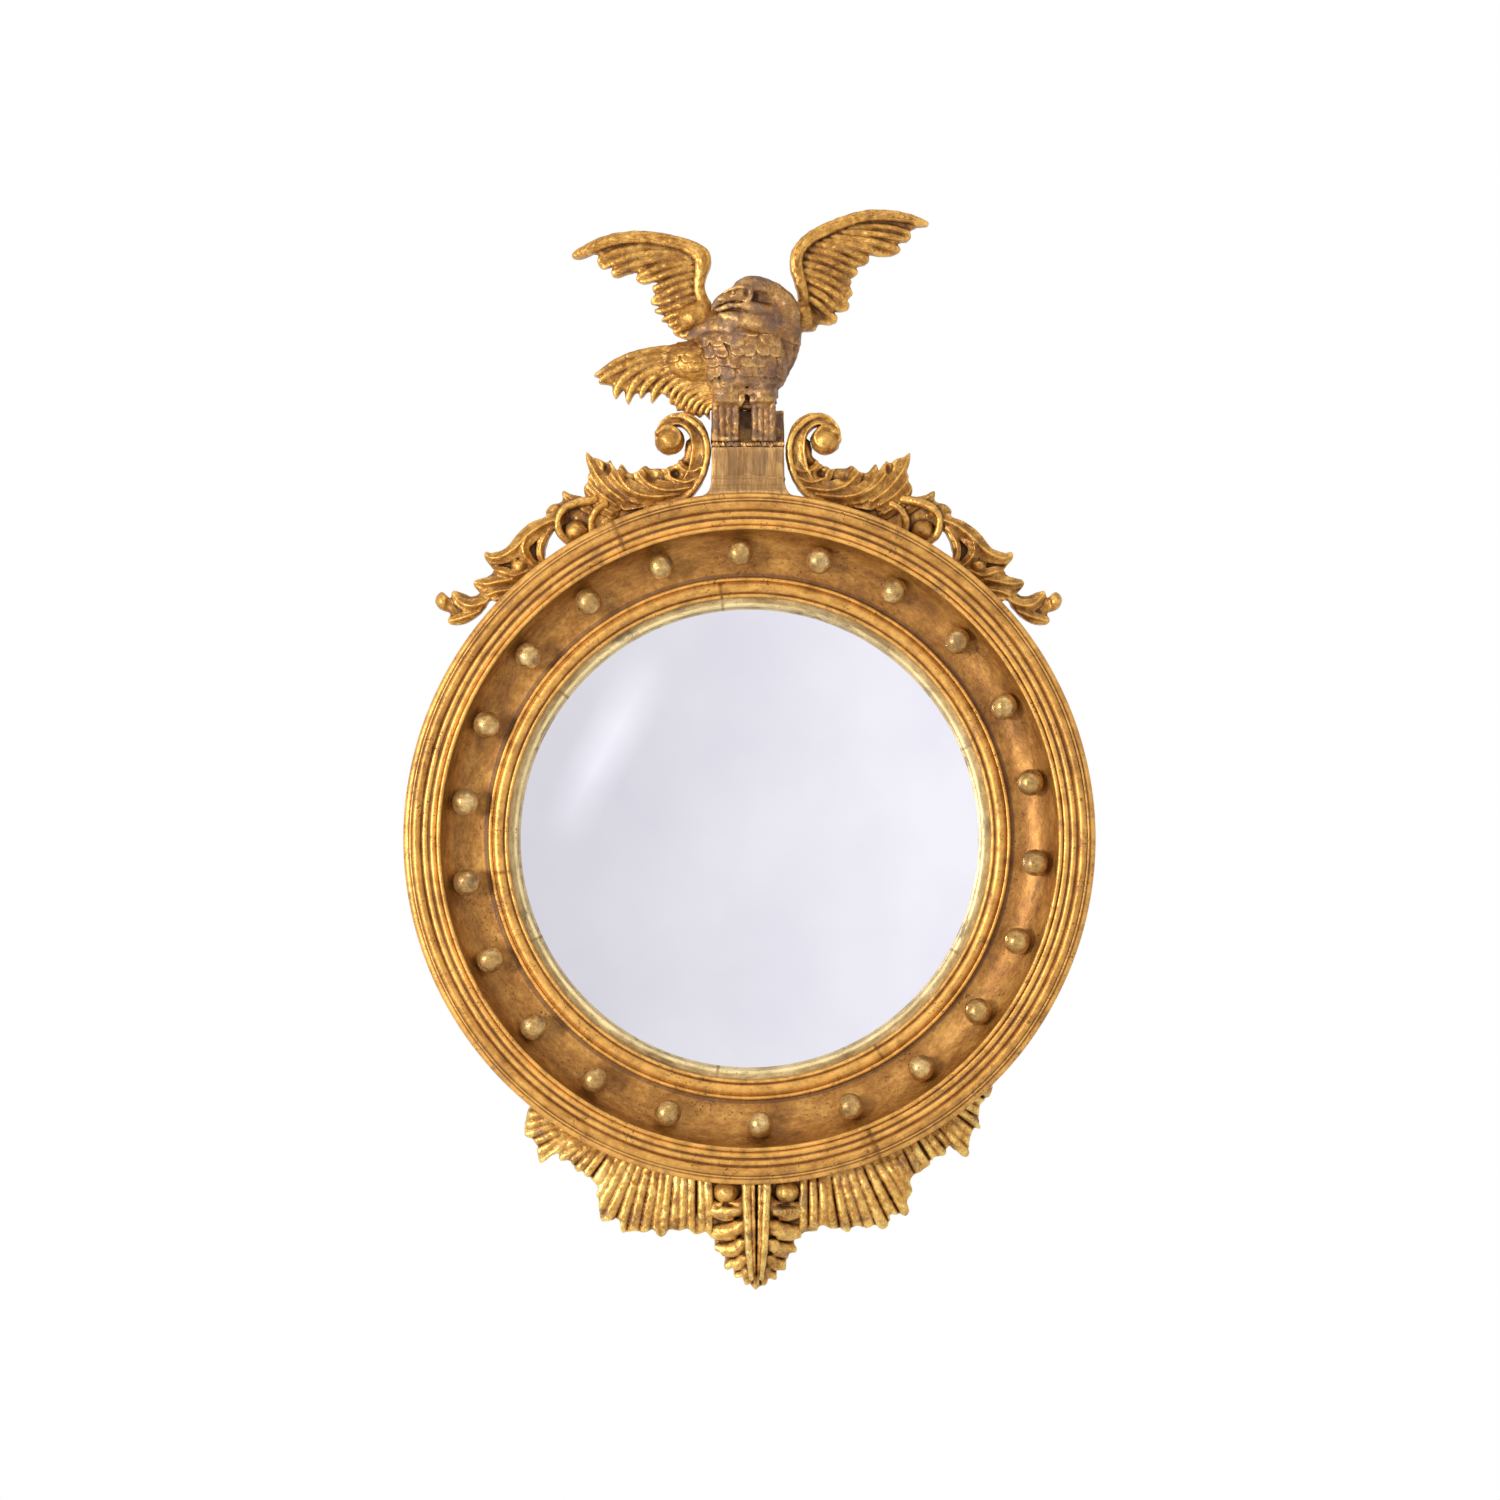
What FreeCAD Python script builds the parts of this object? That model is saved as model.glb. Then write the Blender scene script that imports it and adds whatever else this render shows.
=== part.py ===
import FreeCAD, Part
import math
import os

import Sketcher
from FreeCAD import Placement, Rotation, Vector

# Girandole mirror: a turned ring with a deep cove and 22 balls round a convex glass, an eagle on a
# plinth with acanthus scrolls above, and a fluted leaf apron below.
# Frame: +Z up, the glass faces -Y, the wall is the plane Y = 0, and the origin is where the ring's
# axis meets the wall. "Depth" is the distance in front of the wall, so Y = -depth.

doc = FreeCAD.newDocument("GirandoleMirror")
sheet = doc.addObject("Spreadsheet::Sheet", "Sizes")

DRIVING_SIZES = [
    # name, millimetres (or degrees, or a count), what it is
    ("sight_radius", 233, "glass seen inside the slip"),
    ("slip_visible_width", 9, "slip seen between the glass and the inner moulding"),
    ("slip_hidden_width", 4.5, "slip under the inner moulding"),
    ("slip_back_depth", 26, "depth of the back of the slip"),
    ("slip_thickness", 7, "front to back of the slip"),
    ("astragal_width", 15.7, "inner round moulding"),
    ("astragal_seat_depth", 24, "depth of the step that the inner moulding sits on"),
    ("astragal_shoulder_rise", 18, "from that step up to the moulding's rounds"),
    ("small_bead_width", 4, "small bead on the inside of the inner moulding"),
    ("cove_bead_width", 4, "fine bead on the inside edge of the cove"),
    ("cove_bead_rise", 17, "from the inner moulding's step to the bead's shoulder"),
    ("cove_radius", 38, "radius of the cove's arc"),
    ("cove_centre_depth", 75, "depth of the centre of the cove's arc"),
    ("cove_floor_inset", 12, "from the cove's inner edge to its deepest line"),
    ("cove_lip_drop", 2, "the cove's outer edge below the centre of its arc"),
    ("cove_lip_width", 3.5, "flat on the outer edge of the cove"),
    ("reed_width", 7, "reed next to the cove"),
    ("band_width", 7.7, "round band between the reed and the torus"),
    ("torus_width", 12.5, "large outer round"),
    ("edge_reed_width", 5.5, "outermost reed"),
    ("moulding_seat_depth", 44, "depth of the step under the outer moulding"),
    ("moulding_rise", 25.5, "from that step up to the moulding's rounds"),
    ("edge_rise", 18, "from that step up to the outermost reed"),
    ("overhang", 6.5, "outer moulding beyond the body of the ring"),
    ("wall_face_width", 36, "flat ring that bears on the wall"),
    ("back_recess_depth", 8, "recess inside the wall face"),
    ("joint_gap", 0.3, "gap at glued joints"),
    ("glass_cover", 7, "glass behind the slip"),
    ("glass_thickness", 4, "mirror glass"),
    ("glass_curve_radius", 1000, "radius of the convex face"),
    ("glass_bearing_gap", 0.3, "slip to glass"),
    ("block_length", 30, "block behind the rim of the glass"),
    ("block_width", 11, "the same, across"),
    ("block_count", 8, "blocks round the glass"),
    ("board_bearing", 15, "backing board on its step"),
    ("board_thickness", 6, "plywood backing board"),
    ("board_screw_inset", 6, "screws from the edge of the board"),
    ("board_screw_count", 8, "screws of the backing board"),
    ("board_screw_length", 18, "overall length of a board screw"),
    ("screw_radius", 1.6, "shank of every wood screw"),
    ("screw_head_radius", 3.2, "countersunk head of every wood screw"),
    ("screw_head_height", 2, "the same, height"),
    ("screw_gap", 0.15, "clearance round screws and dowels"),
    ("ball_radius", 13.5, "turned ball"),
    ("ball_count", 22, "balls in the cove"),
    ("ball_line_inset", 16, "ball centres outside the cove's deepest line"),
    ("bottom_ball_angle", -88, "degrees: the lowest ball stands a little right of the centre line"),
    ("bottom_ball_pitch", 18.6, "degrees from the lowest ball to its neighbours"),
    ("spigot_radius", 3.5, "pin turned on each ball"),
    ("spigot_length", 12, "pin inside the wood"),
    ("plinth_height", 47, "crest plinth above the ring"),
    ("plinth_half_width", 36.5, "half the width of the plinth's shaft"),
    ("plinth_flare", 8.5, "foot beyond the shaft on each side"),
    ("plinth_flare_height", 16, "height of the flared foot"),
    ("plinth_back_depth", 3.3, "back of the plinth, in front of the wall"),
    ("plinth_depth", 52, "front to back of the plinth's shaft"),
    ("plinth_shift", -1.5, "plinth left of the ring's centre line"),
    ("perch_height", 5, "rocky ledge on the plinth"),
    ("back_block_height", 34.5, "block behind the eagle's legs"),
    ("back_block_depth", 24, "the same, front to back"),
    ("crest_strap_width", 24, "iron strap behind the crest"),
    ("crest_strap_thickness", 3, "the same, front to back"),
    ("crest_strap_length", 118, "the same, height"),
    ("crest_strap_reach", 34, "strap let into the ring below its top"),
    ("carving_back_depth", 16, "flat back of the carvings on the rim"),
    ("scroll_relief", 34, "front to back of the scrolls"),
    ("spray_relief", 30, "front to back of the leaf sprays"),
    ("fan_relief", 32, "front to back of the apron's fans"),
    ("pendant_relief", 42, "front to back of the apron's pendant"),
    ("wing_back_depth", 14, "flat back of the wings"),
    ("wing_relief", 24, "front to back of the wings at the rail"),
    ("tail_back_depth", 22, "flat back of the tail"),
    ("tail_relief", 24, "front to back of the tail"),
    ("eagle_middle_depth", 38, "middle of the eagle's body in front of the wall"),
    ("tail_block_gap", 1.5, "tail to the block behind the legs"),
    ("eagle_half_depth", 30, "half the front to back of the eagle's body"),
    ("head_back_depth", 40, "flat joint at the back of the head and neck"),
    ("head_relief", 34, "front to back of the head and neck"),
    ("leg_relief", 34, "front to back of the legs"),
    ("dowel_radius", 4, "dowels of the carvings"),
    ("dowel_length", 36, "the same, length"),
    ("dowel_depth", 28, "depth of the rim dowels' axes"),
    ("strap_ring_screw_first", 8, "lowest screw above the crest strap's lower end"),
    ("strap_ring_screw_second", 20, "the next screw, also in the ring"),
    ("strap_plinth_screw_first", 50, "first screw in the plinth, above the same end"),
    ("strap_plinth_screw_second", 72, "second screw in the plinth"),
    ("strap_block_screw", 106, "screw in the block behind the eagle's legs"),
    ("hanger_from_board", 5.2, "middle of each strap outside the backing board"),
    ("hanger_eye_height", 84, "axis of the ring above the centre"),
    ("hanger_strap_width", 14, "strap plate"),
    ("hanger_strap_length", 40, "strap plate below the ring's axis"),
    ("hanger_strap_thickness", 1.2, "strap plate"),
    ("eye_outer_radius", 3, "rolled eye of the strap"),
    ("eye_gap", 0.1, "running clearance of the ring in the eye"),
    ("ring_wire_radius", 1.5, "wire of the D-ring"),
    ("ring_half_width", 10, "centre line of the D-ring, half its width"),
    ("ring_straight", 9, "straight side of the D-ring"),
    ("hanger_screw_first", 25, "first screw below the ring's axis"),
    ("hanger_screw_second", 35, "second screw below the ring's axis"),
    ("hanger_screw_length", 14, "overall length of a hanger screw"),
    ("hanger_head_height", 1.4, "pan head of a hanger screw"),
    ("bead_roundness", 0.56, "radius of each turned round, over its width"),
]

for row, (alias, number, meaning) in enumerate(DRIVING_SIZES, start=1):
    sheet.set("A%d" % row, meaning)
    sheet.set("B%d" % row, str(number))
    sheet.setAlias("B%d" % row, alias)
doc.recompute()

# Sizes that follow from the driving ones, bound by expression.
DERIVED_SIZES = [
    ("astragal_inner", "Sizes.sight_radius + Sizes.slip_visible_width"),
    ("astragal_outer", "Derived.astragal_inner + Sizes.astragal_width"),
    ("small_bead_outer", "Derived.astragal_inner + Sizes.small_bead_width"),
    ("slip_outer", "Derived.astragal_inner + Sizes.slip_hidden_width"),
    ("slip_front_depth", "Sizes.slip_back_depth + Sizes.slip_thickness"),
    ("slip_edge_depth", "Derived.slip_front_depth - 1.5"),
    ("slip_edge_radius", "Sizes.sight_radius + 1.5"),
    ("rebate_radius", "Derived.slip_outer + Sizes.joint_gap"),
    ("astragal_lip_depth", "Derived.slip_front_depth + Sizes.joint_gap"),
    ("astragal_shoulder", "Sizes.astragal_seat_depth + Sizes.astragal_shoulder_rise"),
    ("astragal_round", "(Derived.astragal_outer - Derived.small_bead_outer) * Sizes.bead_roundness"),
    ("small_bead_round", "Sizes.small_bead_width * Sizes.bead_roundness"),
    ("cove_inner", "Derived.astragal_outer + Sizes.joint_gap"),
    ("cove_bead_outer", "Derived.cove_inner + Sizes.cove_bead_width"),
    ("cove_bead_depth", "Sizes.astragal_seat_depth + Sizes.cove_bead_rise"),
    ("cove_bead_round", "Sizes.cove_bead_width * Sizes.bead_roundness"),
    ("cove_centre_radius", "Derived.cove_inner + Sizes.cove_floor_inset"),
    ("cove_start_depth", "Sizes.cove_centre_depth - sqrt(Sizes.cove_radius^2"
                         " - (Derived.cove_centre_radius - Derived.cove_bead_outer)^2)"),
    ("cove_lip_depth", "Sizes.cove_centre_depth - Sizes.cove_lip_drop"),
    ("cove_end_radius", "Derived.cove_centre_radius"
                        " + sqrt(Sizes.cove_radius^2 - Sizes.cove_lip_drop^2)"),
    ("cove_lip_radius", "Derived.cove_end_radius + Sizes.cove_lip_width"),
    ("moulding_inner", "Derived.cove_lip_radius + Sizes.joint_gap"),
    ("reed_outer", "Derived.moulding_inner + Sizes.reed_width"),
    ("band_outer", "Derived.reed_outer + Sizes.band_width"),
    ("torus_outer", "Derived.band_outer + Sizes.torus_width"),
    ("outer_radius", "Derived.torus_outer + Sizes.edge_reed_width"),
    ("moulding_shoulder", "Sizes.moulding_seat_depth + Sizes.moulding_rise"),
    ("edge_shoulder", "Sizes.moulding_seat_depth + Sizes.edge_rise"),
    ("reed_round", "Sizes.reed_width * Sizes.bead_roundness"),
    ("band_round", "Sizes.band_width * Sizes.bead_roundness"),
    ("torus_round", "Sizes.torus_width * Sizes.bead_roundness"),
    ("edge_reed_round", "sqrt(Sizes.edge_reed_width^2 + (Derived.moulding_shoulder"
                        " - Derived.edge_shoulder)^2) * Sizes.bead_roundness"),
    ("body_radius", "Derived.outer_radius - Sizes.overhang"),
    ("recess_radius", "Derived.body_radius - Sizes.wall_face_width"),
    ("glass_radius", "Sizes.sight_radius + Sizes.glass_cover"),
    ("sight_drop", "Sizes.glass_curve_radius"
                   " - sqrt(Sizes.glass_curve_radius^2 - Sizes.sight_radius^2)"),
    ("rim_drop", "Sizes.glass_curve_radius"
                 " - sqrt(Sizes.glass_curve_radius^2 - Derived.glass_radius^2)"),
    ("crown_depth", "Sizes.slip_back_depth - Sizes.glass_bearing_gap + Derived.sight_drop"),
    ("crown_back_depth", "Derived.crown_depth - Sizes.glass_thickness"),
    ("rim_depth", "Derived.crown_depth - Derived.rim_drop"),
    ("rim_back_depth", "Derived.rim_depth - Sizes.glass_thickness"),
    ("board_radius", "Derived.rebate_radius + Sizes.board_bearing"),
    ("board_back_depth", "Sizes.back_recess_depth - Sizes.board_thickness"),
    ("hanger_offset", "Derived.board_radius + Sizes.hanger_from_board"),
    ("zero", "0"),
]

derived = doc.addObject("App::VarSet", "Derived")
for name, formula in DERIVED_SIZES:
    derived.addProperty("App::PropertyFloat", name, "Sizes", "")
    derived.setExpression(name, formula)
doc.recompute()


def size(name):
    """A driving size, or one that follows from them."""
    if hasattr(derived, name):
        return float(getattr(derived, name))
    return float(getattr(sheet, name))


def bound(name):
    """The expression that reads a size."""
    if hasattr(derived, name):
        return "Derived." + name
    return "Sizes." + name


# ---------------------------------------------------------------- sketches and turned bodies

def arc_between(start, end, radius, side):
    """The short arc of a radius from start to end; side 1 has its centre on the left."""
    chord = end - start
    middle = (start + end) * 0.5
    left = Vector(-chord.y, chord.x, 0) / chord.Length
    reach = math.sqrt(max(radius * radius - chord.Length ** 2 / 4, 0.0))
    centre = middle + left * (side * reach)
    first, last = (start, end) if side > 0 else (end, start)
    first_angle = math.atan2(first.y - centre.y, first.x - centre.x)
    last_angle = math.atan2(last.y - centre.y, last.x - centre.x)
    if last_angle < first_angle:
        last_angle += 2 * math.pi
    circle = Part.Circle(centre, Vector(0, 0, 1), radius)
    return Part.ArcOfCircle(circle, first_angle, last_angle)


def pin_corner(sketch, index, position, across, up):
    """Hold one end of an edge at two named sizes."""
    for kind, name, axis in (("DistanceX", across, -2), ("DistanceY", up, -1)):
        if name == "zero":
            sketch.addConstraint(Sketcher.Constraint("PointOnObject", index, position, axis))
            continue
        held = sketch.addConstraint(
            Sketcher.Constraint(kind, -1, 1, index, position, size(name)))
        sketch.setExpression("Constraints[%d]" % held, bound(name))


def draw_outline(sketch, corners):
    """A closed outline. A corner is (across, up) or (across, up, radius, side): the last two make
    the edge to the next corner an arc. All but side are names of sizes."""
    points = [Vector(size(corner[0]), size(corner[1]), 0) for corner in corners]
    ends = []
    for index, corner in enumerate(corners):
        start = points[index]
        end = points[(index + 1) % len(points)]
        if len(corner) == 4:
            sketch.addGeometry(arc_between(start, end, size(corner[2]), corner[3]), False)
            ends.append((1, 2) if corner[3] > 0 else (2, 1))
        else:
            sketch.addGeometry(Part.LineSegment(start, end), False)
            ends.append((1, 2))
    for index, corner in enumerate(corners):
        following = (index + 1) % len(corners)
        sketch.addConstraint(Sketcher.Constraint(
            "Coincident", index, ends[index][1], following, ends[following][0]))
    for index, corner in enumerate(corners):
        pin_corner(sketch, index, ends[index][0], corner[0], corner[1])
        if len(corner) == 4:
            held = sketch.addConstraint(
                Sketcher.Constraint("Radius", index, size(corner[2])))
            sketch.setExpression("Constraints[%d]" % held, bound(corner[2]))


def new_body(label):
    """An empty body; the label names its file."""
    body = doc.addObject("PartDesign::Body", label)
    body.Label = label
    return body


def new_sketch(body, plane_role, name):
    """A sketch on one of the body's own origin planes."""
    plane = [item for item in body.Origin.OriginFeatures if item.Role == plane_role][0]
    sketch = body.newObject("Sketcher::SketchObject", name)
    sketch.AttachmentSupport = [(plane, "")]
    sketch.MapMode = "FlatFace"
    return sketch


# Turned bodies are drawn as (radius, depth) and turned about the sketch's vertical axis; half a
# turn about Z then points their depth away from the wall.
FACING_ROOM = Placement(Vector(0, 0, 0), Rotation(Vector(0, 0, 1), 180))


def turned_body(label, corners):
    body = new_body(label)
    sketch = new_sketch(body, "XY_Plane", label + "_section")
    draw_outline(sketch, corners)
    turning = body.newObject("PartDesign::Revolution", label + "_turning")
    turning.Profile = sketch
    turning.ReferenceAxis = (sketch, ["V_Axis"])
    turning.Angle = 360
    body.Tip = turning
    body.Placement = FACING_ROOM
    return body


def part_feature(label, shape):
    feature = doc.addObject("Part::Feature", label)
    feature.Label = label
    feature.Shape = shape
    feature.Placement = Placement()
    return feature


def cut_feature(label, base, tool):
    cut = doc.addObject("Part::Cut", label)
    cut.Label = label
    cut.Base = base
    cut.Tool = tool
    return cut


# ---------------------------------------------------------------- points, rods and screws

def at(across, depth, up):
    """A point from its place in the front view and its depth in front of the wall."""
    return Vector(across, -depth, up)


def rod(start, end, radius):
    return Part.makeCylinder(radius, (end - start).Length, start, end - start)


def wood_screw(head_face, direction, length, gap=0.0, pan_head=0.0):
    """A screw whose head is flush at head_face, or stands pan_head proud of it."""
    shank = rod(head_face, head_face + direction * length, size("screw_radius") + gap)
    if pan_head:
        head = rod(head_face - direction * pan_head, head_face, size("screw_head_radius") + gap)
        return shank.fuse(head)
    head = Part.makeCone(size("screw_head_radius") + gap, size("screw_radius") + gap,
                         size("screw_head_height"), head_face, direction)
    return shank.fuse(head)


INTO_WOOD = Vector(0, -1, 0)
SIDES = (("left", -1), ("right", 1))


def board_screw_faces():
    """Head faces of the screws round the backing board."""
    radius = size("board_radius") - size("board_screw_inset")
    count = int(size("board_screw_count"))
    faces = []
    for index in range(count):
        angle = math.radians(360.0 * (index + 0.5) / count)
        faces.append(at(radius * math.cos(angle), size("board_back_depth"), radius * math.sin(angle)))
    return faces


def hanger_screw_faces(side):
    """Where the two screws of one hanger meet the face of its strap."""
    depth = size("back_recess_depth") - size("hanger_strap_thickness")
    eye = size("hanger_eye_height")
    across = side * size("hanger_offset")
    return [at(across, depth, eye - size("hanger_screw_first")),
            at(across, depth, eye - size("hanger_screw_second"))]


def crest_screw_faces():
    """Head faces of the crest strap's screws: two in the ring, two in the plinth, one above."""
    depth = size("plinth_back_depth") - size("crest_strap_thickness")
    bottom = size("outer_radius") - size("crest_strap_reach")
    heights = ("strap_ring_screw_first", "strap_ring_screw_second", "strap_plinth_screw_first",
               "strap_plinth_screw_second", "strap_block_screw")
    return [at(size("plinth_shift"), depth, bottom + size(height)) for height in heights]


RIM_DOWELS = {
    # carving: degrees anticlockwise from the right
    "right_scroll": (78.0, 71.0),
    "left_scroll": (102.5, 109.0),
    "right_leaf_spray": (60.0, 50.0),
    "left_leaf_spray": (120.0, 130.0),
    "apron_right_fan": (-52.0, -66.0),
    "apron_left_fan": (-114.0, -125.0),
    "apron_pendant": (-89.0,),
}


def rim_dowel_ends(carvings):
    """Both ends of each dowel between the ring and these carvings on its rim."""
    half = size("dowel_length") / 2
    depth = size("dowel_depth")
    ends = []
    for angle in [angle for carving in carvings for angle in RIM_DOWELS[carving]]:
        turn = math.radians(angle)
        outward = Vector(math.cos(turn), 0, math.sin(turn))
        middle = at(size("body_radius") * outward.x, depth, size("body_radius") * outward.z)
        ends.append((middle - outward * half, middle + outward * half))
    return ends


def feet_height():
    """Top of the ledge, which carries the eagle."""
    return size("outer_radius") + size("plinth_height") + size("perch_height")


def eagle_dowel_ends():
    """Dowels that hold the wings and the tail to the body."""
    feet = feet_height()
    return [(at(28, 33, feet + 127.5), at(61, 33, feet + 127.5)),
            (at(-30, 33, feet + 128.5), at(-66, 33, feet + 128.5)),
            (at(-36, 35, feet + 81.5), at(-72, 35, feet + 81.5))]


def dowels(ends, gap=0.0):
    radius = size("dowel_radius")
    return [rod(start, end, radius + gap) for start, end in ends]


# ---------------------------------------------------------------- carved forms

# The carvings are drawn from what carries them, so they keep their shape and follow its size.

def on_rim(along, rise):
    """The point this far to the right along the rim, from its top, and this far outside it."""
    turn = along / size("outer_radius")
    reach = size("outer_radius") + rise
    return reach * math.sin(turn), reach * math.cos(turn)


def under_rim(along, rise):
    """The same, measured from the bottom of the rim."""
    across, up = on_rim(along, rise)
    return across, -up


def below_ring(across, up):
    """A point beside the centre line, its height taken from the lowest point of the rim."""
    return across, up - size("outer_radius")


def above_ledge(across, up):
    """A point beside the centre line, its height taken from the top of the ledge."""
    return across, up + feet_height()


def rib(stations, back, relief, place):
    """A tapering carved rib, flat behind, with a ridge along its front. Each station is
    (across, up, half width, share of the relief)."""
    points = [Vector(*place(x, z), 0) for x, z, width, share in stations]
    sections = []
    for index, (x, z, width, share) in enumerate(stations):
        before = points[max(index - 1, 0)]
        after = points[min(index + 1, len(points) - 1)]
        along = (after - before).normalize()
        side = Vector(-along.y, along.x, 0) * width
        ridge = back + relief * share
        edge = back + relief * share * 0.62
        centre = points[index]
        flat = [(centre + side, back), (centre + side, edge), (centre, ridge),
                (centre - side, edge), (centre - side, back)]
        sections.append([at(point.x, depth, point.y) for point, depth in flat])
    faces = [Part.Face(Part.makePolygon(sections[0] + sections[0][:1])),
             Part.Face(Part.makePolygon(sections[-1] + sections[-1][:1]))]
    for near, far in zip(sections, sections[1:]):
        for corner in range(5):
            following = (corner + 1) % 5
            for triangle in ((near[corner], near[following], far[following]),
                             (near[corner], far[following], far[corner])):
                faces.append(Part.Face(Part.makePolygon(list(triangle) + [triangle[0]])))
    solid = Part.makeSolid(Part.makeShell(faces))
    if solid.Volume < 0:
        solid.reverse()
    return solid


def plate(corners, back, thickness, place):
    """A flat web behind ribs."""
    points = []
    for x, z in corners:
        across, up = place(x, z)
        points.append(at(across, back, up))
    face = Part.Face(Part.makePolygon(points + points[:1]))
    return face.extrude(Vector(0, -thickness, 0))


def ball(across, up, radius, depth, place):
    x, z = place(across, up)
    return Part.makeSphere(radius, at(x, depth, z), INTO_WOOD)


def joined(shapes):
    result = shapes[0].multiFuse(shapes[1:])
    solids = sorted(result.Solids, key=lambda solid: solid.Volume)
    return solids[-1] if solids else result


def largest(shape):
    """The carving without crumbs that a cut may leave."""
    return sorted(shape.Solids, key=lambda solid: solid.Volume)[-1]


def rim_cutter():
    """The ring's outside with the glue gap, to seat carvings against."""
    gap = size("joint_gap")
    seat = size("moulding_seat_depth")
    body = Part.makeCylinder(size("body_radius") + gap, seat + 1, Vector(0, 1, 0), INTO_WOOD)
    rim = Part.makeCylinder(size("outer_radius") + gap, 120, at(0, seat - gap, 0), INTO_WOOD)
    return body.fuse(rim)


def seated(label, shape, cutter):
    """A rim carving, cut to the rim and drilled for its own dowels."""
    holes = dowels(rim_dowel_ends([label]), size("screw_gap"))
    return part_feature(label, largest(shape.cut(cutter).cut(holes)))


def mirrored(points, along=0.0, rise=0.0):
    """The same form on the right: the carver's two sides differ a little."""
    return [(along - point[0], rise + point[1]) + tuple(point[2:]) for point in points]


# ---------------------------------------------------------------- the turned frame

def build_cove_ring():
    """The main ring: wall face, recess, rebate, step, bead, cove and step for the outer moulding."""
    body = turned_body("cove_ring_turning", [
        ("body_radius", "zero"),
        ("body_radius", "moulding_seat_depth"),
        ("cove_lip_radius", "moulding_seat_depth"),
        ("cove_lip_radius", "cove_lip_depth"),
        ("cove_end_radius", "cove_lip_depth", "cove_radius", -1),
        ("cove_bead_outer", "cove_start_depth"),
        ("cove_bead_outer", "cove_bead_depth", "cove_bead_round", 1),
        ("cove_inner", "cove_bead_depth"),
        ("cove_inner", "astragal_seat_depth"),
        ("rebate_radius", "astragal_seat_depth"),
        ("rebate_radius", "back_recess_depth"),
        ("recess_radius", "back_recess_depth"),
        ("recess_radius", "zero"),
    ])
    gap = size("screw_gap")
    tools = [spigot_rod(index, gap) for index in range(int(size("ball_count")))]
    tools += dowels(rim_dowel_ends(RIM_DOWELS), gap)
    for face in board_screw_faces():
        tools.append(wood_screw(face, INTO_WOOD, size("board_screw_length") + gap, gap))
    for side_name, side in SIDES:
        for face in hanger_screw_faces(side):
            tools.append(rod(face, face + INTO_WOOD * (size("hanger_screw_length") + gap),
                             size("screw_radius") + gap))
    for face in crest_screw_faces()[:2]:
        tools.append(wood_screw(face, INTO_WOOD, size("board_screw_length") + gap, gap))
    tools.append(strap_slot())
    holes = part_feature("cove_ring_holes", Part.makeCompound(tools))
    return cut_feature("cove_ring", body, holes)


def strap_slot():
    """The slot behind the ring's top that lets the crest strap in."""
    width = size("crest_strap_width") + 2 * size("joint_gap")
    bottom = size("outer_radius") - size("crest_strap_reach") - size("joint_gap")
    return Part.makeBox(width, size("plinth_back_depth") + 1, size("crest_strap_reach") + 5,
                        Vector(size("plinth_shift") - width / 2, -size("plinth_back_depth"), bottom))


def build_outer_reeded_ring():
    return turned_body("outer_reeded_ring", [
        ("moulding_inner", "moulding_seat_depth"),
        ("outer_radius", "moulding_seat_depth"),
        ("outer_radius", "edge_shoulder", "edge_reed_round", 1),
        ("torus_outer", "moulding_shoulder", "torus_round", 1),
        ("band_outer", "moulding_shoulder", "band_round", 1),
        ("reed_outer", "moulding_shoulder", "reed_round", 1),
        ("moulding_inner", "moulding_shoulder"),
    ])


def build_inner_astragal_ring():
    return turned_body("inner_astragal_ring", [
        ("rebate_radius", "astragal_seat_depth"),
        ("astragal_outer", "astragal_seat_depth"),
        ("astragal_outer", "astragal_shoulder", "astragal_round", 1),
        ("small_bead_outer", "astragal_shoulder", "small_bead_round", 1),
        ("astragal_inner", "astragal_shoulder"),
        ("astragal_inner", "astragal_lip_depth"),
        ("rebate_radius", "astragal_lip_depth"),
    ])


def build_slip_ring():
    return turned_body("slip_ring", [
        ("sight_radius", "slip_back_depth"),
        ("slip_outer", "slip_back_depth"),
        ("slip_outer", "slip_front_depth"),
        ("slip_edge_radius", "slip_front_depth"),
        ("sight_radius", "slip_edge_depth"),
    ])


# ---------------------------------------------------------------- the balls

def ball_angle(index):
    """Direction of a ball from the axis, anticlockwise from the right; ball 0 is the lowest."""
    if index == 0:
        return size("bottom_ball_angle")
    others = int(size("ball_count")) - 1
    pitch = (360.0 - 2 * size("bottom_ball_pitch")) / (others - 1)
    return size("bottom_ball_angle") + size("bottom_ball_pitch") + pitch * (index - 1)


def ball_direction():
    """From the centre of the cove's arc towards a ball, in radius and depth."""
    across = size("ball_line_inset")
    reach = size("cove_radius") - size("ball_radius") - size("joint_gap")
    return Vector(across, -math.sqrt(reach * reach - across * across), 0) * (1.0 / reach)


def ball_centre(index, reach=None):
    """Centre of a ball, or the point at that reach from the centre of the cove's arc."""
    if reach is None:
        reach = size("cove_radius") - size("ball_radius") - size("joint_gap")
    direction = ball_direction()
    radius = size("cove_centre_radius") + direction.x * reach
    depth = size("cove_centre_depth") + direction.y * reach
    angle = math.radians(ball_angle(index))
    return at(radius * math.cos(angle), depth, radius * math.sin(angle))


def spigot_rod(index, gap=0.0):
    start = ball_centre(index)
    end = ball_centre(index, size("cove_radius") + size("spigot_length") + gap)
    return rod(start, end, size("spigot_radius") + gap)


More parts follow.
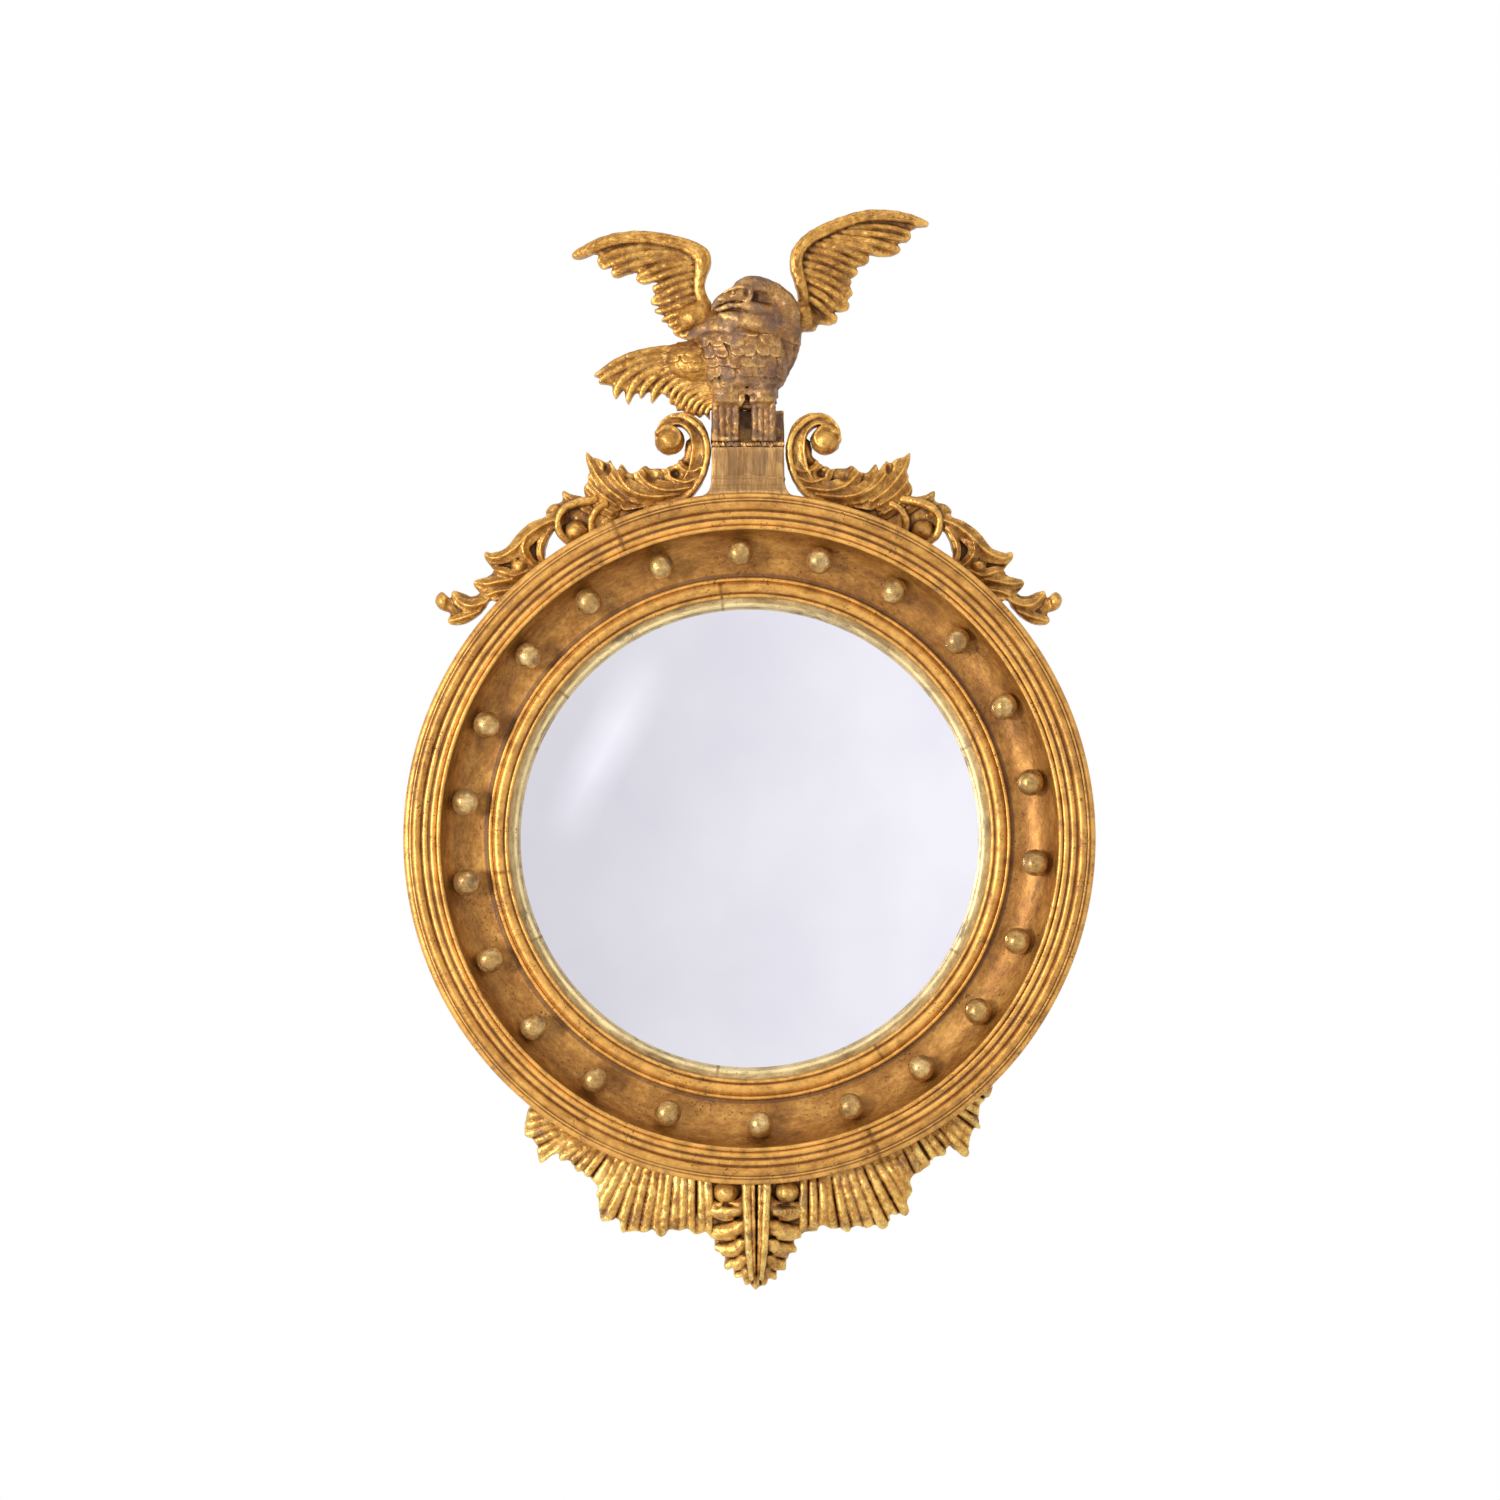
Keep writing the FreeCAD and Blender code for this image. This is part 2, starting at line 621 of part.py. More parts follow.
def build_balls():
    balls = []
    for index in range(int(size("ball_count"))):
        label = "cove_ball_%02d" % (index + 1)
        sphere = doc.addObject("Part::Sphere", label + "_sphere")
        sphere.setExpression("Radius", "Sizes.ball_radius * 1 mm")
        centre = ball_centre(index)
        sphere.Placement = Placement(centre, Rotation())
        spigot = doc.addObject("Part::Cylinder", label + "_spigot")
        spigot.setExpression("Radius", "Sizes.spigot_radius * 1 mm")
        spigot.setExpression("Height", "(Sizes.ball_radius + Sizes.joint_gap"
                                       " + Sizes.spigot_length) * 1 mm")
        direction = ball_centre(index, size("cove_radius")) - centre
        spigot.Placement = Placement(centre, Rotation(Vector(0, 0, 1), direction))
        turned = doc.addObject("Part::MultiFuse", label)
        turned.Label = label
        turned.Shapes = [sphere, spigot]
        balls.append(turned)
    return balls


# ---------------------------------------------------------------- glass, blocks and board

def build_glass():
    return turned_body("convex_glass", [
        ("zero", "crown_back_depth", "glass_curve_radius", -1),
        ("glass_radius", "rim_back_depth"),
        ("glass_radius", "rim_depth", "glass_curve_radius", 1),
        ("zero", "crown_depth"),
    ])


def build_glass_blocks():
    """Blocks glued in the rebate behind the rim of the glass."""
    gap = size("joint_gap")
    depth = size("rim_back_depth") - size("back_recess_depth") - gap
    outer = Part.makeCylinder(size("rebate_radius") - gap, depth,
                              at(0, size("back_recess_depth"), 0), INTO_WOOD)
    blocks = []
    count = int(size("block_count"))
    for index in range(count):
        box = Part.makeBox(size("block_width"), depth, size("block_length"),
                           Vector(size("rebate_radius") - size("block_width"),
                                  -size("back_recess_depth") - depth, -size("block_length") / 2))
        box.rotate(Vector(), Vector(0, 1, 0), 360.0 * index / count)
        blocks.append(box.common(outer))
    return part_feature("glass_blocks", Part.makeCompound([block.Solids[0] for block in blocks]))


def build_backing_board():
    body = turned_body("backing_board_disc", [
        ("zero", "board_back_depth"),
        ("board_radius", "board_back_depth"),
        ("board_radius", "back_recess_depth"),
        ("zero", "back_recess_depth"),
    ])
    gap = size("screw_gap")
    tools = [wood_screw(face, INTO_WOOD, size("board_screw_length"), gap)
             for face in board_screw_faces()]
    holes = part_feature("backing_board_holes", Part.makeCompound(tools))
    return cut_feature("backing_board", body, holes)


def build_backboard_screws():
    screws = [wood_screw(face, INTO_WOOD, size("board_screw_length")) for face in board_screw_faces()]
    return part_feature("backboard_screws", Part.makeCompound(screws))


# ---------------------------------------------------------------- hangers

def eye_centre(side):
    depth = size("back_recess_depth") - size("eye_outer_radius")
    return at(side * size("hanger_offset"), depth, size("hanger_eye_height"))


def build_hanger_strap(side_name, side):
    """A strap plate with an eye rolled at its upper end."""
    centre = eye_centre(side)
    half = size("hanger_strap_width") / 2
    across = Vector(1, 0, 0)
    start = centre - across * half
    end = centre + across * half
    front = -size("back_recess_depth")
    tongue = Part.makeBox(2 * half, size("hanger_strap_thickness"), size("hanger_strap_length"),
                          Vector(centre.x - half, front, centre.z - size("hanger_strap_length")))
    bore = rod(start - across, end + across, size("ring_wire_radius") + size("eye_gap"))
    shape = tongue.fuse(rod(start, end, size("eye_outer_radius"))).cut(bore)
    for face in hanger_screw_faces(side):
        shape = shape.cut(rod(face - INTO_WOOD, face + INTO_WOOD * 3,
                              size("screw_radius") + size("screw_gap")))
    return part_feature("hanger_strap_" + side_name, largest(shape))


def build_hanger_ring(side_name, side):
    """A D-ring hanging from its eye: a straight bar, two short sides and a half round bow."""
    centre = eye_centre(side)
    half = size("ring_half_width")
    wire = size("ring_wire_radius")
    drop = size("ring_straight")
    left, right = centre - Vector(half, 0, 0), centre + Vector(half, 0, 0)
    low_left, low_right = left - Vector(0, 0, drop), right - Vector(0, 0, drop)
    bow_centre = centre - Vector(0, 0, drop)
    bow = Part.makeTorus(half, wire, bow_centre, Vector(0, 1, 0))
    lower = Part.makeBox(4 * half, 4 * half, 4 * half,
                         bow_centre - Vector(2 * half, 2 * half, 4 * half))
    shape = rod(left, right, wire).multiFuse([
        rod(left, low_left, wire), rod(right, low_right, wire), bow.common(lower),
        Part.makeSphere(wire, left), Part.makeSphere(wire, right)])
    return part_feature("hanger_ring_" + side_name, largest(shape))


def build_hanger_screws():
    screws = []
    for side_name, side in SIDES:
        for face in hanger_screw_faces(side):
            screws.append(wood_screw(face, INTO_WOOD, size("hanger_screw_length"),
                                     pan_head=size("hanger_head_height")))
    return part_feature("hanger_screws", Part.makeCompound(screws))


# ---------------------------------------------------------------- crest: plinth, ledge and block

def crest_holes():
    """Screws of the crest strap above the ring, with their clearance."""
    gap = size("screw_gap")
    length = size("board_screw_length") + gap
    return Part.makeCompound([wood_screw(face, INTO_WOOD, length, gap)
                              for face in crest_screw_faces()[2:]])


def flared_block(length, shaft, flare, base, height, flare_height, along_depth):
    """One direction of the plinth: a shaft that sweeps out to a wider foot."""
    low = base - 14
    corners = [Vector(-shaft - flare, 0, low), Vector(-shaft - flare, 0, base),
               Vector(-shaft, 0, base + flare_height), Vector(-shaft, 0, base + height),
               Vector(shaft, 0, base + height), Vector(shaft, 0, base + flare_height),
               Vector(shaft + flare, 0, base), Vector(shaft + flare, 0, low)]
    sag = flare * 0.28
    edges = []
    for index, start in enumerate(corners):
        end = corners[(index + 1) % len(corners)]
        if index in (1, 5):
            inward = 1 if index == 1 else -1
            middle = (start + end) * 0.5 + Vector(inward * sag, 0, -sag)
            edges.append(Part.Arc(start, middle, end).toShape())
        else:
            edges.append(Part.makeLine(start, end))
    face = Part.Face(Part.Wire(edges))
    solid = face.extrude(Vector(0, -length, 0))
    if along_depth:
        solid.rotate(Vector(), Vector(0, 0, 1), 90)
    return solid


def build_crest_plinth(cutter, holes):
    base = size("outer_radius") - 2.5
    height = size("plinth_height") + 2.5
    depth = size("plinth_depth")
    flare, flare_height = size("plinth_flare"), size("plinth_flare_height")
    front = flared_block(2 * depth, size("plinth_half_width"), flare, base, height,
                         flare_height, False)
    front.translate(Vector(size("plinth_shift"), -size("plinth_back_depth"), 0))
    side = flared_block(400, depth, flare * 0.7, base, height, flare_height, True)
    side.translate(Vector(-200, -size("plinth_back_depth"), 0))
    shape = front.common(side)
    return part_feature("crest_plinth", largest(shape.cut(cutter).cut(holes)))


def build_eagle_perch():
    """The rocky ledge: an uneven slab as wide as the plinth."""
    back, depth = size("plinth_back_depth"), size("plinth_depth")
    half, shift = size("plinth_half_width"), size("plinth_shift")
    outline = [(-1.0, 0.0), (-1.0, 0.93), (-0.78, 0.99), (-0.5, 0.9), (-0.2, 1.0), (0.1, 0.94),
               (0.4, 1.0), (0.72, 0.92), (1.0, 0.97), (1.0, 0.0)]
    base = size("outer_radius") + size("plinth_height")
    points = [at(shift + half * x, back + depth * y, base) for x, y in outline]
    face = Part.Face(Part.makePolygon(points + points[:1]))
    return part_feature("eagle_perch", face.extrude(Vector(0, 0, size("perch_height"))))


def build_eagle_back_block(holes):
    base = size("outer_radius") + size("plinth_height") + size("perch_height")
    half = size("plinth_half_width")
    box = Part.makeBox(2 * half, size("back_block_depth"), size("back_block_height"),
                       Vector(size("plinth_shift") - half,
                              -size("plinth_back_depth") - size("back_block_depth"), base))
    return part_feature("eagle_back_block", largest(box.cut(holes)))


def build_crest_strap():
    thickness = size("crest_strap_thickness")
    width = size("crest_strap_width")
    bottom = size("outer_radius") - size("crest_strap_reach")
    shape = Part.makeBox(width, thickness, size("crest_strap_length"),
                         Vector(size("plinth_shift") - width / 2, -size("plinth_back_depth"), bottom))
    gap = size("screw_gap")
    for face in crest_screw_faces():
        shape = shape.cut(wood_screw(face, INTO_WOOD, size("board_screw_length"), gap))
    return part_feature("crest_strap", largest(shape))


def build_crest_strap_screws():
    screws = [wood_screw(face, INTO_WOOD, size("board_screw_length")) for face in crest_screw_faces()]
    return part_feature("crest_strap_screws", Part.makeCompound(screws))


# ---------------------------------------------------------------- the eagle

def eagle_torso(grow=0.0):
    """The breast and belly, lofted through upright ovals: (height above the ledge, left, right,
    share of the half depth)."""
    ovals = [(35.5, -36, 25, 0.62), (53.5, -40, 29, 0.84), (69.5, -46, 38, 0.97), (87.5, -52, 47, 1.0),
             (103.5, -54, 50.5, 1.0), (119.5, -48, 50.5, 0.92), (133.5, -38, 47.5, 0.74)]
    middle = size("eagle_middle_depth")
    wires = []
    for index, (up, left, right, share) in enumerate(ovals):
        height = up + feet_height()
        if index == 0:
            height -= grow
        if index == len(ovals) - 1:
            height += grow
        wide = (right - left) / 2.0 + grow
        deep = size("eagle_half_depth") * share + grow
        oval = Part.Ellipse(Vector(0, 0, 0), wide, deep)
        oval.translate(at((left + right) / 2.0, middle, height))
        wires.append(Part.Wire([oval.toShape()]))
    return Part.makeLoft(wires, True, False)


def eagle_neck(grow=0.0):
    """The neck arches up from the right shoulder and turns back, beak to the left."""
    stations = [(37, 111.5, 12, 0.72), (35, 131.5, 12.5, 0.8), (27, 143.5, 12.5, 0.88),
                (16, 149.5, 12.5, 0.94), (3, 151.5, 12.5, 1.0), (-9, 148.5, 11.5, 1.0),
                (-20, 141.5, 9, 0.96), (-30, 137.5, 6.5, 0.86), (-36.5, 133.5, 2.5, 0.7)]
    wider = [(x, z, width + grow, share) for x, z, width, share in stations]
    back = size("head_back_depth") - grow
    brow = [(-6, 155.5, 6, 0.86), (-20, 147.5, 4.5, 0.9), (-31, 144.5, 2.0, 0.7)]
    shapes = [rib(wider, back, size("head_relief") + 2 * grow, above_ledge)]
    if not grow:
        shapes.append(rib(brow, back, size("head_relief"), above_ledge))
    return joined(shapes)


def build_eagle(holes):
    """The bird's seven pieces, each trimmed to the one it is glued to."""
    gap = size("joint_gap")
    relief = size("leg_relief")
    feet = feet_height()
    torso = eagle_torso()
    torso_cutter = eagle_torso(gap)
    neck_cutter = eagle_neck(gap)
    perch_top = Part.makeBox(400, 400, 100, Vector(-200, -200, feet - 100))

    torso_piece = largest(torso.cut(neck_cutter).cut(holes))
    pieces = {"eagle_body": torso_piece, "eagle_head_neck": eagle_neck()}

    rail_right = [(54, 130.5, 4.5, 0.7), (54.5, 148.5, 5, 0.8), (51, 163.5, 5.5, 0.9),
                  (46.5, 177.5, 6.2, 1.0),
                  (47.8, 189.5, 6.2, 1.0), (54, 200, 6.2, 1.0), (65, 209, 5.8, 1.0),
                  (81, 217, 5.8, 1.0), (99, 224.5, 5.6, 0.95), (119, 229.5, 5.3, 0.9),
                  (139, 230, 5, 0.85), (157, 227.5, 4.8, 0.8), (170, 224, 4.2, 0.7),
                  (179, 222, 2.2, 0.6)]
    feathers_right = [
        [(104, 218.5, 5, 0.55), (136, 217.5, 6, 0.6), (156, 209.5, 5.5, 0.55), (160.5, 208, 3, 0.5)],
        [(92, 210.5, 6, 0.55), (124, 203.5, 9, 0.62), (142, 197.5, 7.5, 0.6), (149, 196, 4, 0.5)],
        [(62, 199.5, 6, 0.6), (92, 194.5, 9, 0.66), (110, 186.5, 7.5, 0.62), (117.5, 185, 4, 0.5)],
        [(56, 189.5, 5, 0.6), (82, 184.5, 7.5, 0.64), (101, 175, 5.5, 0.58), (107.5, 173, 3, 0.5)],
        [(54, 180.5, 4, 0.6), (80, 174.5, 7, 0.62), (96, 164.5, 5, 0.56), (101, 163.5, 3, 0.5)],
        [(55, 171.5, 5, 0.6), (78, 164.5, 7.5, 0.62), (97, 153.5, 5, 0.56), (102.5, 152.5, 3, 0.5)],
        [(57, 161.5, 5, 0.6), (76, 152.5, 8, 0.62), (93, 141.5, 6.5, 0.56), (99, 139.5, 4, 0.5)],
        [(58, 148.5, 5, 0.6), (70, 138.5, 8, 0.62), (82, 128.5, 6.5, 0.56), (87, 127.5, 4, 0.5)],
        [(54, 135.5, 5, 0.6), (58, 125.5, 7, 0.62), (63, 119.5, 5.5, 0.56), (67, 118, 3.5, 0.5)],
    ]
    web_right = [(50, 115.5), (50, 153.5), (50, 187.5), (64, 205.5), (100, 221.5), (140, 223.5),
                 (140, 209.5),
                 (126, 195.5), (104, 187.5), (96, 171.5), (92, 155.5), (84, 141.5), (70, 125.5)]
    rail_left = [(-44, 136.5, 6, 0.7), (-50.5, 148.5, 5.5, 0.8), (-51, 160.5, 5, 0.86),
                 (-49, 171.5, 6, 0.95),
                 (-46.5, 180.5, 8, 1.0), (-48, 189.5, 8.2, 1.0), (-58, 197, 7, 1.0), (-73, 202.5, 6, 1.0),
                 (-91, 206.5, 5.8, 0.98), (-111, 208.5, 5.8, 0.94), (-131, 207, 5.8, 0.9),
                 (-149, 202.5, 5.6, 0.84), (-163, 196, 5.4, 0.76), (-172, 191.5, 4.6, 0.68),
                 (-176.5, 190, 2.8, 0.6)]
    feathers_left = [
        [(-70, 195.5, 5, 0.55), (-108, 193.5, 6, 0.62), (-138, 185.5, 6.5, 0.6), (-150, 183.5, 4, 0.5)],
        [(-60, 188.5, 5, 0.58), (-94, 184.5, 6.5, 0.64), (-122, 176.5, 6, 0.6), (-136, 173.5, 4, 0.5)],
        [(-56, 179.5, 6, 0.6), (-82, 176.5, 8, 0.66), (-100, 169.5, 6.5, 0.6), (-111, 168, 4, 0.5)],
        [(-55, 169.5, 6, 0.6), (-74, 163.5, 7, 0.64), (-90, 157.5, 5.5, 0.58), (-96, 156.5, 3.5, 0.5)],
        [(-54, 159.5, 6, 0.6), (-74, 152.5, 6.5, 0.64), (-91, 144.5, 5, 0.58), (-97.5, 143.5, 3, 0.5)],
        [(-51, 150.5, 6, 0.6), (-69, 143.5, 6.5, 0.64), (-88, 135.5, 4.5, 0.58), (-94, 134.5, 3, 0.5)],
        [(-49, 140.5, 6, 0.6), (-66, 133.5, 6, 0.64), (-82, 127, 4.5, 0.58), (-87, 125.5, 3, 0.5)],
        [(-48, 130.5, 6, 0.6), (-64, 125, 5.5, 0.64), (-77, 120, 4, 0.58), (-81.5, 119.5, 2.5, 0.5)],
        [(-48, 120.5, 6, 0.6), (-60, 117, 5, 0.64), (-70, 114, 4, 0.58), (-75, 113.5, 2.5, 0.5)],
    ]
    web_left = [(-46, 115.5), (-44, 139.5), (-50, 159.5), (-48, 183.5), (-60, 195.5), (-100, 201.5),
                (-140, 195.5),
                (-132, 181.5), (-104, 173.5), (-88, 163.5), (-88, 143.5), (-76, 125.5), (-64, 113.5)]
    back, wing = size("wing_back_depth"), size("wing_relief")
    for side_name, rail, feathers, web in (("right", rail_right, feathers_right, web_right),
                                           ("left", rail_left, feathers_left, web_left)):
        ribs = [rib(stations, back, wing, above_ledge) for stations in [rail] + feathers]
        shape = joined([plate(web, back, wing * 0.34, above_ledge)] + ribs)
        pieces["eagle_%s_wing" % side_name] = largest(shape.cut(torso_cutter).cut(neck_cutter).cut(holes))

    tail_ribs = [
        [(-50, 93.5, 6, 0.9), (-78, 94.5, 4.5, 0.85), (-106, 91.5, 4.5, 0.8), (-131, 82.5, 4.5, 0.7),
         (-150, 71.5, 3.5, 0.6), (-155, 68.5, 1.5, 0.5)],
        [(-50, 86.5, 6, 0.9), (-80, 88.5, 4.5, 0.82), (-110, 83.5, 5, 0.75), (-136, 72.5, 5.5, 0.66),
         (-147, 63.5, 4, 0.55)],
        [(-50, 81.5, 6, 0.9), (-82, 81.5, 4.5, 0.82), (-110, 75.5, 5.5, 0.72), (-128, 64.5, 6.5, 0.64),
         (-135, 52.5, 4, 0.55), (-134, 47.5, 1.8, 0.5)],
        [(-50, 75.5, 6, 0.9), (-78, 75.5, 4.5, 0.82), (-102, 69.5, 5.5, 0.72), (-117, 57.5, 6, 0.64),
         (-122, 45.5, 3.2, 0.55), (-121.5, 41, 1.4, 0.5)],
        [(-48, 70.5, 6, 0.9), (-72, 70.5, 4.5, 0.8), (-94, 65.5, 5.5, 0.72), (-106, 55.5, 5.5, 0.62),
         (-109, 48, 2.2, 0.5)],
        [(-46, 65.5, 6, 0.9), (-68, 65.5, 4.5, 0.8), (-86, 60.5, 5, 0.72), (-95, 50.5, 5, 0.62),
         (-98, 42.5, 1.8, 0.5)],
        [(-44, 60.5, 6, 0.9), (-62, 60.5, 4, 0.8), (-76, 56.5, 4.5, 0.7), (-83, 49.5, 3.6, 0.55)],
        [(-42, 56.5, 5, 0.9), (-58, 56.5, 4, 0.8), (-71, 51.5, 4.2, 0.7), (-78, 42.5, 2.4, 0.55)],
        [(-40, 52.5, 5, 0.9), (-53, 52.5, 4, 0.8), (-65, 46.5, 4.4, 0.7), (-71, 36.5, 2.6, 0.55)],
        [(-38, 49.5, 5, 0.9), (-49, 48.5, 4, 0.8), (-59, 42.5, 4, 0.7), (-64, 33.5, 2.4, 0.55)],
        [(-36, 46.5, 5, 0.9), (-45, 45.5, 4, 0.8), (-53, 39.5, 4, 0.7), (-57, 30.5, 2.6, 0.55)],
        [(-34, 43.5, 5, 0.9), (-41, 41.5, 4, 0.8), (-47, 35.5, 3.6, 0.7), (-49, 29, 2.6, 0.55)],
    ]
    tail_web = [(-42, 97.5), (-100, 93.5), (-132, 79.5), (-120, 59.5), (-96, 55.5), (-78, 49.5),
                (-64, 39.5), (-46, 33.5), (-40, 37.5)]
    back, relief_tail = size("tail_back_depth"), size("tail_relief")
    ribs = [rib(stations, back, relief_tail, above_ledge) for stations in tail_ribs]
    shape = joined([plate(tail_web, back, relief_tail * 0.4, above_ledge)] + ribs)
    tail_end = size("plinth_shift") - size("plinth_half_width") - size("tail_block_gap")
    leg_gap = Part.makeBox(400, 400, 200, Vector(tail_end, -200, feet - 100))
    shape = shape.cut(torso_cutter).cut(leg_gap).cut(holes)
    pieces["eagle_tail"] = largest(shape)

    leg_back = size("plinth_back_depth") + size("back_block_depth") + gap
    for side_name, middle, half in (("left", -23.5, 13.5), ("right", 15, 12)):
        ribs = [rib([(middle, 55.5, half * 0.8, 0.8), (middle, 43.5, half, 0.92),
                     (middle, 34.5, half * 0.86, 0.8), (middle, 23.5, half * 0.9, 0.78),
                     (middle, 0, half, 0.86)], leg_back, relief, above_ledge)]
        for offset in (-0.66, 0.0, 0.66):
            across = middle + offset * half
            ribs.append(rib([(across, 36.5, half * 0.3, 0.8), (across, 15.5, half * 0.3, 0.86),
                             (across, 0, half * 0.36, 0.98)], leg_back, relief, above_ledge))
        shape = joined(ribs).cut(torso_cutter).cut(perch_top)
        pieces["eagle_%s_leg" % side_name] = largest(shape)
    return [part_feature(label, shape) for label, shape in pieces.items()]


# ---------------------------------------------------------------- scrolls, sprays and apron

def build_scroll(side_name, side, cutter):
    """A C-scroll that rises from the rim beside the plinth, with a volute and acanthus leaves."""
    band = [(-60.4, 80, 7.5, 0.8), (-50.2, 75.5, 8.5, 0.86), (-43.4, 65.7, 9, 0.9),
            (-41, 51.3, 8.5, 0.92), (-43.1, 36.5, 8.5, 0.92), (-49.9, 22.3, 9, 0.86),
            (-60.4, 10.9, 9.5, 0.8), (-71.9, 3, 10, 0.7)]
    leaves = [
        [(-41.7, 36.3, 7, 0.9), (-52.5, 37.9, 6.5, 0.8), (-61.6, 37.6, 4.5, 0.7), (-64.1, 39.1, 2.5, 0.6)],
        [(-46.8, 24.9, 8, 0.9), (-60, 25.1, 9, 0.85), (-72.1, 30.7, 6, 0.7), (-75.3, 33.5, 3, 0.6)],
        [(-54.4, 11.9, 8, 0.85), (-72.9, 17.6, 9.5, 0.82), (-86.6, 29.3, 9.5, 0.72),
         (-94.2, 40.8, 4.5, 0.6)],
        [(-61.8, 3.1, 8, 0.8), (-86.3, 10.6, 10, 0.8), (-105.6, 26.8, 11, 0.7), (-112.2, 42.9, 7, 0.62),
         (-114.2, 50.5, 3, 0.55)],
        [(-71.2, -3.2, 8, 0.72), (-103.7, 6.3, 10, 0.76), (-126.6, 28.4, 12, 0.7),
         (-132.4, 50.3, 10.5, 0.62),
         (-136.6, 69.7, 5, 0.55), (-138, 74.7, 2.4, 0.5)],
        [(-122.1, 41.5, 5, 0.6), (-124, 53, 4.5, 0.55), (-123.3, 58, 2.6, 0.5)],
        [(-105.8, -0.4, 6, 0.7), (-130.7, 17.2, 7, 0.66), (-142.1, 39.7, 6.5, 0.6),
         (-146.1, 51.6, 3, 0.52)],
        [(-119.1, -2.2, 6, 0.64), (-140, 14.8, 7, 0.6), (-148.3, 31.8, 6, 0.56), (-150.6, 45.2, 3.5, 0.5)],
    ]
    back, relief = size("carving_back_depth"), size("scroll_relief")
    if side > 0:
        band = mirrored(band, -2.6, -0.5)
        leaves = [mirrored(stations, -1.7, -0.5) for stations in leaves]
    shapes = [rib(stations, back, relief, on_rim) for stations in [band] + leaves]
    along, rise = (-67.7, 62.8) if side < 0 else (64.3, 62.1)
    shapes.append(ball(along, rise, 15.3, back + relief - 13.0, on_rim))
    web = [(-50.8, 9.3), (-51.5, 31.7), (-78.1, 29.1), (-110.3, 36.9), (-132, 56.6), (-147.6, 35.9),
           (-134.5, -2.8),
           (-81.9, -4.9)]
    if side > 0:
        web = mirrored(web, -1.7, -0.5)
    shapes.append(plate(web, back, relief * 0.3, on_rim))
    return seated("%s_scroll" % side_name, joined(shapes), cutter)


def build_leaf_spray(side_name, side, cutter):
    """The pierced spray below the scroll, with a small volute and a curling tip."""
    leaves = [
        [(-189.9, 13.5, 4.5, 0.75), (-186.8, 25.6, 5.5, 0.8), (-176, 33.8, 6, 0.82), (-161, 28.5, 9, 0.8)],
        [(-165.7, 18.7, 10, 0.7), (-163, 33, 8, 0.7), (-168.8, 44.3, 5, 0.6), (-170.1, 50.1, 2, 0.5)],
        [(-171.4, 24.2, 9, 0.7), (-179.5, 37.2, 7.5, 0.66), (-188.2, 40.5, 5.5, 0.55)],
        [(-184.1, 28.5, 8, 0.75), (-201, 29.4, 8.5, 0.85), (-218.9, 29.5, 10, 0.9),
         (-235.8, 27.2, 10.5, 0.86),
         (-250.5, 31.6, 7, 0.72), (-257.9, 39, 6, 0.62), (-259.3, 43.2, 3, 0.5)],
        [(-194.8, 25, 5, 0.75), (-210.2, 20.3, 6, 0.8), (-220.9, 9.9, 7, 0.76), (-222.1, -1.7, 7, 0.6)],
        [(-226.9, 24.7, 8, 0.8), (-238.8, 16.9, 9, 0.76), (-241.1, 3.3, 9, 0.6)],
        [(-244.1, 5.8, 9, 0.66), (-257.8, 17.1, 10, 0.72), (-273.2, 23.2, 8.5, 0.66), (-282, 28, 5, 0.54)],
        [(-260.7, 2.1, 9, 0.6), (-278.8, 12, 7.5, 0.66), (-295.5, 17.8, 8, 0.68), (-303.2, 29.1, 7, 0.62),
         (-302.9, 39.7, 3.5, 0.5)],
        [(-285.7, 10.8, 7, 0.6), (-302.5, 14.1, 7.5, 0.64), (-315.7, 21, 7, 0.6), (-323, 26.4, 4.5, 0.5)],
        [(-310.4, 22.8, 6, 0.6), (-314.8, 36.9, 6, 0.62), (-313.6, 46.8, 7, 0.6), (-310.5, 50.2, 3.6, 0.5)],
    ]
    back, relief = size("carving_back_depth"), size("spray_relief")
    eye = (-177.7, 11.3)
    web = [(-151.8, 7.1), (-157.3, 32.1), (-179.1, 38), (-185.2, 18.7), (-175.9, -0.7)]
    foot = [(-213.9, 26.8), (-240.3, 26), (-267.9, 23.2), (-282.8, 13.5), (-272, -0.8), (-226.5, -0.9)]
    if side > 0:
        leaves = [mirrored(stations, -1.9, -2.1) for stations in leaves]
        web = mirrored(web, -1.9, -2.1)
        foot = mirrored(foot, -1.9, -2.1)
        eye = (177.3, 11)
    shapes = [rib(stations, back, relief, on_rim) for stations in leaves]
    shapes.append(ball(*eye, 11.8, back + relief - 10.0, on_rim))
    shapes.append(plate(web, back, relief * 0.3, on_rim))
    shapes.append(plate(foot, back, relief * 0.3, on_rim))
    return seated("%s_leaf_spray" % side_name, joined(shapes), cutter)


